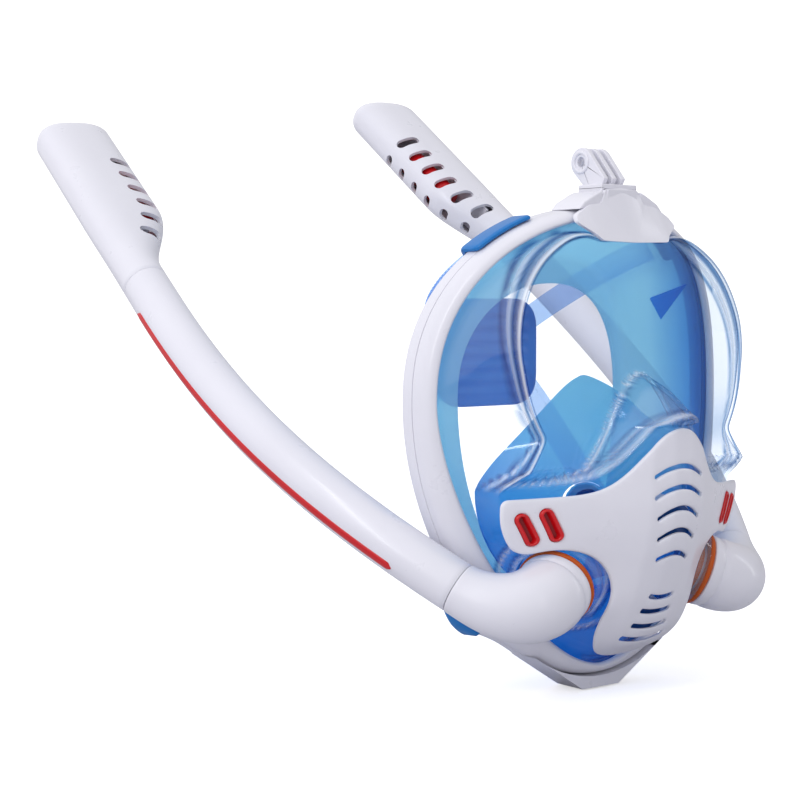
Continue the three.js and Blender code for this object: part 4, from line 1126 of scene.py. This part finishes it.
def tube_shape():
    """Bent pipe with a straight end, chamfered where it meets the elbow and the head."""
    curve = bezier(BEND, np.linspace(0, 1, 90))
    steps = (6, 13, TUBE_STRAIGHT - 1.2, TUBE_STRAIGHT - 0.75, TUBE_STRAIGHT - 0.15)
    straight = [BEND[3] + END_WAY * s for s in steps]
    start = [BEND[0] + BEND_START * 0.15, BEND[0] + BEND_START * 0.7]
    path = np.vstack([start, curve[1:], straight])
    radii = np.full(len(path), TUBE_R)
    radii[0] -= 0.5
    radii[-1] -= 0.35
    outer = sweep(path, lambda i, t: circle(radii[i]))
    inner = sweep(path, lambda i, t: circle(TUBE_BORE))
    return loft(list(outer) + list(inner)[::-1], closed_path=True)


def stripe_shape():
    """Slim bar with round ends, let into the outer lower side of the tube."""
    path = bezier(BEND, np.linspace(0.12, 1, 110))
    facing = unit((0.88, -0.15, -0.45))
    widest = 2.6
    sections = []
    for i, (p, (way, _, _)) in enumerate(zip(path, frames_along(path, (1, 0, 0)))):
        out = unit(facing - way * (facing @ way))
        wide = np.cross(way, out)
        near_end = min(i, len(path) - 1 - i) * 1.8
        half = widest * math.sqrt(max(0.02, 1 - max(0, 1 - near_end / widest) ** 2))
        ring = []
        for a in np.linspace(0, 2 * math.pi, 16, endpoint=False):
            side, lift = half * math.cos(a), 0.8 * math.sin(a)
            ring.append(p + out * (math.sqrt(TUBE_R ** 2 - side ** 2) + lift) + wide * side)
        sections.append(ring)
    return loft(sections)


def head_point(s, inward, up):
    return COLLAR + END_WAY * s + HEAD_IN * inward + HEAD_UP * up


def head_rim(s, angle, shrink):
    """Inward and up of points of the head's outline; the outer side stays in line with the tube."""
    grow = float(smoothstep(*HEAD["swells"], s))
    wide = TUBE_R + (HEAD["wide"] - TUBE_R) * grow - shrink
    deep = TUBE_R + (HEAD["deep"] - TUBE_R) * grow - shrink
    power = 2 / (2 + (HEAD["power"] - 2) * grow)
    c, d = np.cos(angle), np.sin(angle)
    inward = HEAD["shift"] * grow + wide * np.sign(c) * np.abs(c) ** power
    return inward, deep * np.sign(d) * np.abs(d) ** power


def head_section(s, shrink, sides=112):
    """Outline at s, the end of the head being cut at a tilt."""
    flat = HEAD["length"] - HEAD["nose"]
    inward, up = head_rim(min(s, flat), np.linspace(0, 2 * math.pi, sides, endpoint=False), shrink)
    tilt = HEAD["tilt"] * float(smoothstep(HEAD["length"] - 60, flat, s))
    along = s - tilt * (HEAD["wide"] + HEAD["shift"] - inward) / (2 * HEAD["wide"])
    return COLLAR + along[:, None] * END_WAY + inward[:, None] * HEAD_IN + up[:, None] * HEAD_UP


def head_slot(s, inward, up, turn, length, width, depth):
    """A round-ended cutter on the head's surface, facing turn from the inward direction."""
    out = HEAD_IN * math.cos(turn) + HEAD_UP * math.sin(turn)
    side = np.cross(END_WAY, out)
    outline = racetrack(length, width, 0, 0, 0, 10)
    centre = head_point(s, inward, up)
    rings = [[centre + END_WAY * a + side * b + out * d for a, b in outline] for d in (-depth / 2, depth / 2)]
    return loft(rings)


def head_shape():
    """Hollow head, closed and rounded at its far end."""
    length, nose, wall = HEAD["length"], HEAD["nose"], HEAD["wall"]
    stations = list(np.linspace(0, HEAD["swells"][1], 26)) + list(np.linspace(78, length - nose, 22))
    outer = [head_section(0, 0.4), head_section(0.5, 0)] + [head_section(s, 0) for s in stations[1:]]
    inner = [head_section(s, wall) for s in stations]
    for k in range(1, 13):
        a = k / 12 * math.pi / 2
        outer.append(head_section(length - nose + nose * math.sin(a), 9.5 * (1 - math.cos(a))))
        inner.append(head_section(length - nose + (nose - 3) * math.sin(a), wall + 7.5 * (1 - math.cos(a))))
    return loft(inner[::-1] + outer, caps=True)


def transformed(mesh, side, turn):
    """Mirrors a left piece for the right side and turns it in its port to where it rests."""
    if side < 0:
        mesh.transform(Matrix.Scale(-1, 4, (1, 0, 0)))
        mesh.flip_normals()
    base = Vector(mirror(PORT, side) * MM)
    axis = Vector(mirror(PORT_AXIS, side))
    mesh.transform(Matrix.Translation(base) @ Matrix.Rotation(side * math.radians(turn), 4, axis)
                   @ Matrix.Translation(-base))


def capsule(base, axis, r, length, edge):
    """A cylinder whose ends are rounded by edge."""
    return lathe(base, axis, [(0, r - edge), (edge * 0.3, r - edge * 0.3), (edge, r), (length - edge, r),
                              (length - edge * 0.3, r - edge * 0.3), (length, r - edge)])


SLOT_INSET = 1.5
SLOT_ROWS = (  # where each row runs round the head, which way it faces, and its cutters' size
    dict(angle=1.01, turn=0.95, length=16.5, width=SLOT["width"], depth=9),
    dict(angle=-0.2, turn=-0.2, length=8.5, width=SLOT["width"] * 0.85, depth=8),
)
GUIDE = dict(along=92, inward=10.4, half=(52, 0.8, 10.5))
SEAT = dict(along=139, profile=[(0, 10.6), (3, 10.6), (3, 5.5), (0, 5.5)])
STOP = dict(along=54, inward=15, half=(1.5, 5.5, 6))
FLOAT = dict(along=66, inward=21.5, r=9, length=48, edge=2.2)
SEAL = dict(gap=0.3, r=8, thick=2.3, edge=0.6)
GASKET_PROFILE = [(-3.2, 15.4), (-0.1, 15.4), (-0.1, 18.6), (-0.5, 19.4), (-1.2, 19.8), (-2.2, 19.8),
                  (-3.0, 19.4), (-3.2, 18.6)]


def make_head():
    """The left head with its two rows of slots, as a pattern to copy."""
    head = make_object("cut_head", head_shape(), 50)
    cutters = []
    for i in range(SLOT["count"]):
        s = SLOT["first"] + SLOT["pitch"] * i
        for row in SLOT_ROWS:
            inward, up = head_rim(s, row["angle"], SLOT_INSET)
            cutters.append(head_slot(s, inward, up, row["turn"], row["length"], row["width"], row["depth"]))
    boolean(head, make_object("cutter", joined(*cutters)), "DIFFERENCE")
    return head


def along_head(spec):
    """A block with its first side along the head, its second inward and its third up."""
    verts, faces = block(spec["half"])
    centre = head_point(spec["along"], spec["inward"], 0)
    return centre + verts @ np.array([END_WAY, HEAD_IN, HEAD_UP]), faces


def assembly_shapes():
    """Node, piece, shape, material and slot of everything in the left tube assembly but its head."""
    seat = lathe(head_point(SEAT["along"], FLOAT["inward"], 0), END_WAY, SEAT["profile"], closed=True)
    guide = joined(along_head(GUIDE), seat, along_head(STOP))
    at = head_point(FLOAT["along"], FLOAT["inward"], 0)
    float_ = capsule(at, END_WAY, FLOAT["r"], FLOAT["length"], FLOAT["edge"])
    seal_at = at + END_WAY * (FLOAT["length"] + SEAL["gap"])
    seal = capsule(seal_at, END_WAY, SEAL["r"], SEAL["thick"], SEAL["edge"])
    return [
        ("elbow", "elbow_shell", elbow_shape(), WHITE, "white_plastic"),
        ("tube", "tube_shell", tube_shape(), WHITE, "white_plastic"),
        ("tube_stripe", "stripe_bar", stripe_shape(), RED, "red_plastic"),
        ("float_guide", "guide_wall", guide, WHITE_INNER, "white_plastic"),
        ("float", "float_body", float_, RED, "red_plastic"),
        ("float_seal", "seal_disc", seal, ORANGE, "orange_gasket"),
    ]


def make_tubes():
    head = make_head()
    shapes = assembly_shapes()
    for name, side in (("right", -1), ("left", 1)):
        made = [(node, make_object(f"{piece}_{name}", shape, 45), material, slot)
                for node, piece, shape, material, slot in shapes]
        copy = bpy.data.objects.new(f"head_shell_{name}", head.data.copy())
        bpy.context.scene.collection.objects.link(copy)
        made.append(("tube_head", copy, WHITE, "white_plastic"))
        for node, obj, material, slot in made:
            transformed(obj.data, side, SWIVEL_REST[name])
            body = f"float_{name}" if node in ("float", "float_seal") else f"tube_{name}_assembly"
            place(obj, material, slot, body, f"{node}_{name}")
        ring = lathe(mirror(PORT, side), mirror(PORT_AXIS, side), GASKET_PROFILE, closed=True)
        gasket = make_object(f"gasket_ring_{name}", ring, 60)
        place(gasket, ORANGE, "orange_gasket", "mask", f"port_gasket_{name}")
    bpy.data.objects.remove(head)


make_tubes()

# ---------- head harness ----------
ANCHORS = dict(upper=(0.82, 1.16), lower=(-0.86, -0.7))
PAD = dict(y=104, z=22, half=36, tall=30, thick=4)
STRAPS = dict(upper=(13, 2.4), lower=(14, 2.4))
STRAP_POINTS = 60
ANCHOR_PROFILE = rounded(
    [(1, 1.0, 9.6), (1, 2.6, 9.2), (1, 3.4, 11), (1, 3.2, 22.6), (1, 1.2, 25.2), (1, -3.4, 25.6),
     (1, -3.6, 22.8), (1, 0.8, 21.3)],
    [0.5, 0.6, 0.8, 1.6, 1.6, 0.8, 0.6, 0.8], 3)


def make_anchor(name, side, height):
    """Tab hooked round the frame's edge, a little thinner towards its ends."""
    start, end = ANCHORS[height]
    middle = np.mean(ANCHOR_PROFILE, axis=0)
    sections = []
    steps = 44
    for i in range(steps + 1):
        angle = start + (end - start) * i / steps
        angle = angle if side > 0 else math.pi - angle
        near_end = min(i, steps - i)
        shrink = 1 - 0.25 * max(0, 1 - near_end / 3) ** 2
        ring = []
        for p in ANCHOR_PROFILE:
            across, out, back = middle + (p - middle) * shrink
            ring.append(frame_point(angle, across, out + flare(angle, back), back))
        sections.append(ring)
    piece = make_object(f"anchor_tab_{height}_{name}", loft(sections), 60)
    place(piece, STRAP_BLUE, "strap_blue", "mask", f"strap_anchor_{height}_{name}")


def strap_path(height):
    """From behind the anchor's middle to the corner of the pad."""
    start, end = ANCHORS[height]
    upper = height == "upper"
    first = frame_point((start + end) / 2, 1, -6, 27.5)
    last = np.array([PAD["half"] - 7, PAD["y"] + 6.8, PAD["z"] + (14 if upper else -14)])
    leaves, arrives = np.array([-8, 24, -9 if upper else 8]), np.array([26, -2, 16 if upper else -24])
    points = [first, first + leaves, last + arrives, last]
    return bezier(points, np.linspace(0, 1, STRAP_POINTS))


def strap_profile(tooth):
    """The strap's section as shares of its width and thickness, with a tooth on its outer face."""
    half = [(0.46, -0.5), (0.5, -0.35), (0.5, 0.35), (0.46, 0.5), (0.22, 0.5), (0.2, 0.5 + tooth)]
    return half + [(-across, out) for across, out in half[::-1]]


def make_strap(name, side, height):
    """Flat silicone strap with raised teeth down its middle."""
    upper = height == "upper"
    wide, thick = STRAPS[height]
    hint = np.array([-0.5, 0, 1 if upper else -1])
    path = strap_path(height)
    tangent = np.gradient(path, axis=0)
    sections = []
    for i, (p, t) in enumerate(zip(path, tangent)):
        t = unit(t)
        up = unit(hint - t * (hint @ t))
        out = np.cross(t, up)
        tooth = 0.5 if i % 2 == 0 and 2 < i < STRAP_POINTS - 3 else 0.0
        sections.append([p + up * a * wide + out * b * thick for a, b in strap_profile(tooth)])
    verts, faces = loft(sections)
    strap = make_object(f"strap_band_{height}_{name}", (verts * np.array([side, 1, 1]), faces), 35)
    place(strap, BAND_CLEAR, "strap_blue", "mask", f"strap_{height}_{name}")


def make_pad():
    """Padded plate at the back of the head, with ribs across it and a soft edge."""
    half, tall = PAD["half"], PAD["tall"]
    outline = rounded([(-half, -tall), (half, -tall), (half, tall), (-half, tall)], 18, 12)
    outline = np.array(outline) + np.array([0, PAD["z"]])

    def front(x, z):
        ribs = 0.9 * np.cos((z - PAD["z"]) * 2 * math.pi / 7.5)
        inside = smoothstep(30, 24, np.abs(x)) * smoothstep(26, 21, np.abs(z - PAD["z"]))
        return PAD["y"] - PAD["thick"] / 2 - ribs * inside * 0.9 - 0.6 * inside

    pad = make_object("harness_pad_soft", plate(outline, [], front, PAD["thick"], 1.6, 1.6), 60)
    place(pad, PAD_BLUE, "strap_blue", "mask", "harness_pad")


for name, side in (("right", -1), ("left", 1)):
    for height in ANCHORS:
        make_anchor(name, side, height)
        make_strap(name, side, height)
make_pad()

# ---------- small CAD parts that keep their shape ----------
KEPT = {
    "exhale_valve_seat": WHITE_INNER, "purge_valve_seat": WHITE_INNER,
    "exhale_valve_flap": FLAP_BLUE, "purge_valve_flap": FLAP_BLUE,
}
for name in ("right", "left"):
    KEPT[f"inhale_valve_seat_{name}"] = CUP_BLUE
    KEPT[f"inhale_valve_flap_{name}"] = FLAP_BLUE
    KEPT[f"elbow_o_ring_{name}"] = ORANGE
    KEPT[f"head_o_ring_{name}"] = ORANGE
for node, material in KEPT.items():
    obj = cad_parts[node]
    for slot in obj.material_slots:
        slot.link = "OBJECT"
        slot.material = material


# ---------- floor and light ----------
FLOOR_Z, FLOOR_REACH = -0.1512, 8.0
AIM = (0, 0.05, 0)
BRIGHT_WAY = (-0.72, 0.3, 0.62)


def make_stage():
    """Pale paper that the camera sees as white, and that throws less light up than it would."""
    mesh = bpy.data.meshes.new("floor")
    reach, z = FLOOR_REACH, FLOOR_Z
    corners = [(-reach, -reach, z), (reach, -reach, z), (reach, reach, z), (-reach, reach, z)]
    mesh.from_pydata(corners, [], [(0, 1, 2, 3)])
    floor = bpy.data.objects.new("floor", mesh)
    bpy.context.scene.collection.objects.link(floor)
    n = Nodes("floor_paper")
    seen = n.principled(**{"Base Color": (0.93, 0.93, 0.94, 1), "Roughness": 0.9,
                           "Emission Color": (1, 1, 1, 1), "Emission Strength": 0.5})
    lighting = n.principled(**{"Base Color": (0.56, 0.56, 0.6, 1), "Roughness": 0.9})
    straight = n.add("ShaderNodeLightPath").outputs["Is Camera Ray"]
    mesh.materials.append(n.finish(n.mix(straight, lighting.outputs[0], seen.outputs[0])))


def make_light(name, at, size, power, tint=(1, 1, 1)):
    data = bpy.data.lights.new(name, "AREA")
    data.shape = "RECTANGLE"
    data.size, data.size_y = size
    data.energy = power
    data.color = tint
    light = bpy.data.objects.new(name, data)
    light.location = at
    light.rotation_euler = (Vector(AIM) - Vector(at)).to_track_quat("-Z", "Y").to_euler()
    bpy.context.scene.collection.objects.link(light)


def make_world():
    """Even studio light, brighter from the wearer's right, and plain white behind the object."""
    world = bpy.data.worlds.new("studio")
    world.use_nodes = True
    tree = world.node_tree
    tree.nodes.clear()
    direction = tree.nodes.new("ShaderNodeTexCoord").outputs["Generated"]
    dot = tree.nodes.new("ShaderNodeVectorMath")
    dot.operation = "DOT_PRODUCT"
    dot.inputs[1].default_value = BRIGHT_WAY
    tree.links.new(direction, dot.inputs[0])
    level = tree.nodes.new("ShaderNodeMapRange")
    level.inputs["From Min"].default_value = -1
    level.inputs["To Min"].default_value = 0.14
    level.inputs["To Max"].default_value = 1.25
    tree.links.new(dot.outputs["Value"], level.inputs["Value"])
    soft = tree.nodes.new("ShaderNodeBackground")
    soft.inputs["Color"].default_value = (0.97, 0.97, 1.0, 1)
    tree.links.new(level.outputs["Result"], soft.inputs["Strength"])
    plain = tree.nodes.new("ShaderNodeBackground")
    plain.inputs["Color"].default_value = (1, 1, 1, 1)
    plain.inputs["Strength"].default_value = 1.3
    path = tree.nodes.new("ShaderNodeLightPath")
    mix = tree.nodes.new("ShaderNodeMixShader")
    tree.links.new(path.outputs["Is Camera Ray"], mix.inputs[0])
    tree.links.new(soft.outputs[0], mix.inputs[1])
    tree.links.new(plain.outputs[0], mix.inputs[2])
    output = tree.nodes.new("ShaderNodeOutputWorld")
    tree.links.new(mix.outputs[0], output.inputs["Surface"])
    bpy.context.scene.world = world


make_stage()
make_world()
make_light("key", (-1.5, -0.3, 0.9), (0.14, 1.4), 5)
make_light("front_strip", (-0.2, -1.6, 0.5), (0.06, 1.4), 1.2)
make_light("right_strip", (1.3, -0.6, 0.4), (0.07, 1.2), 1.5, (0.95, 0.97, 1))

scene = bpy.context.scene
scene.view_settings.view_transform = "Standard"
scene.cycles.max_bounces = 14
scene.cycles.transparent_max_bounces = 24
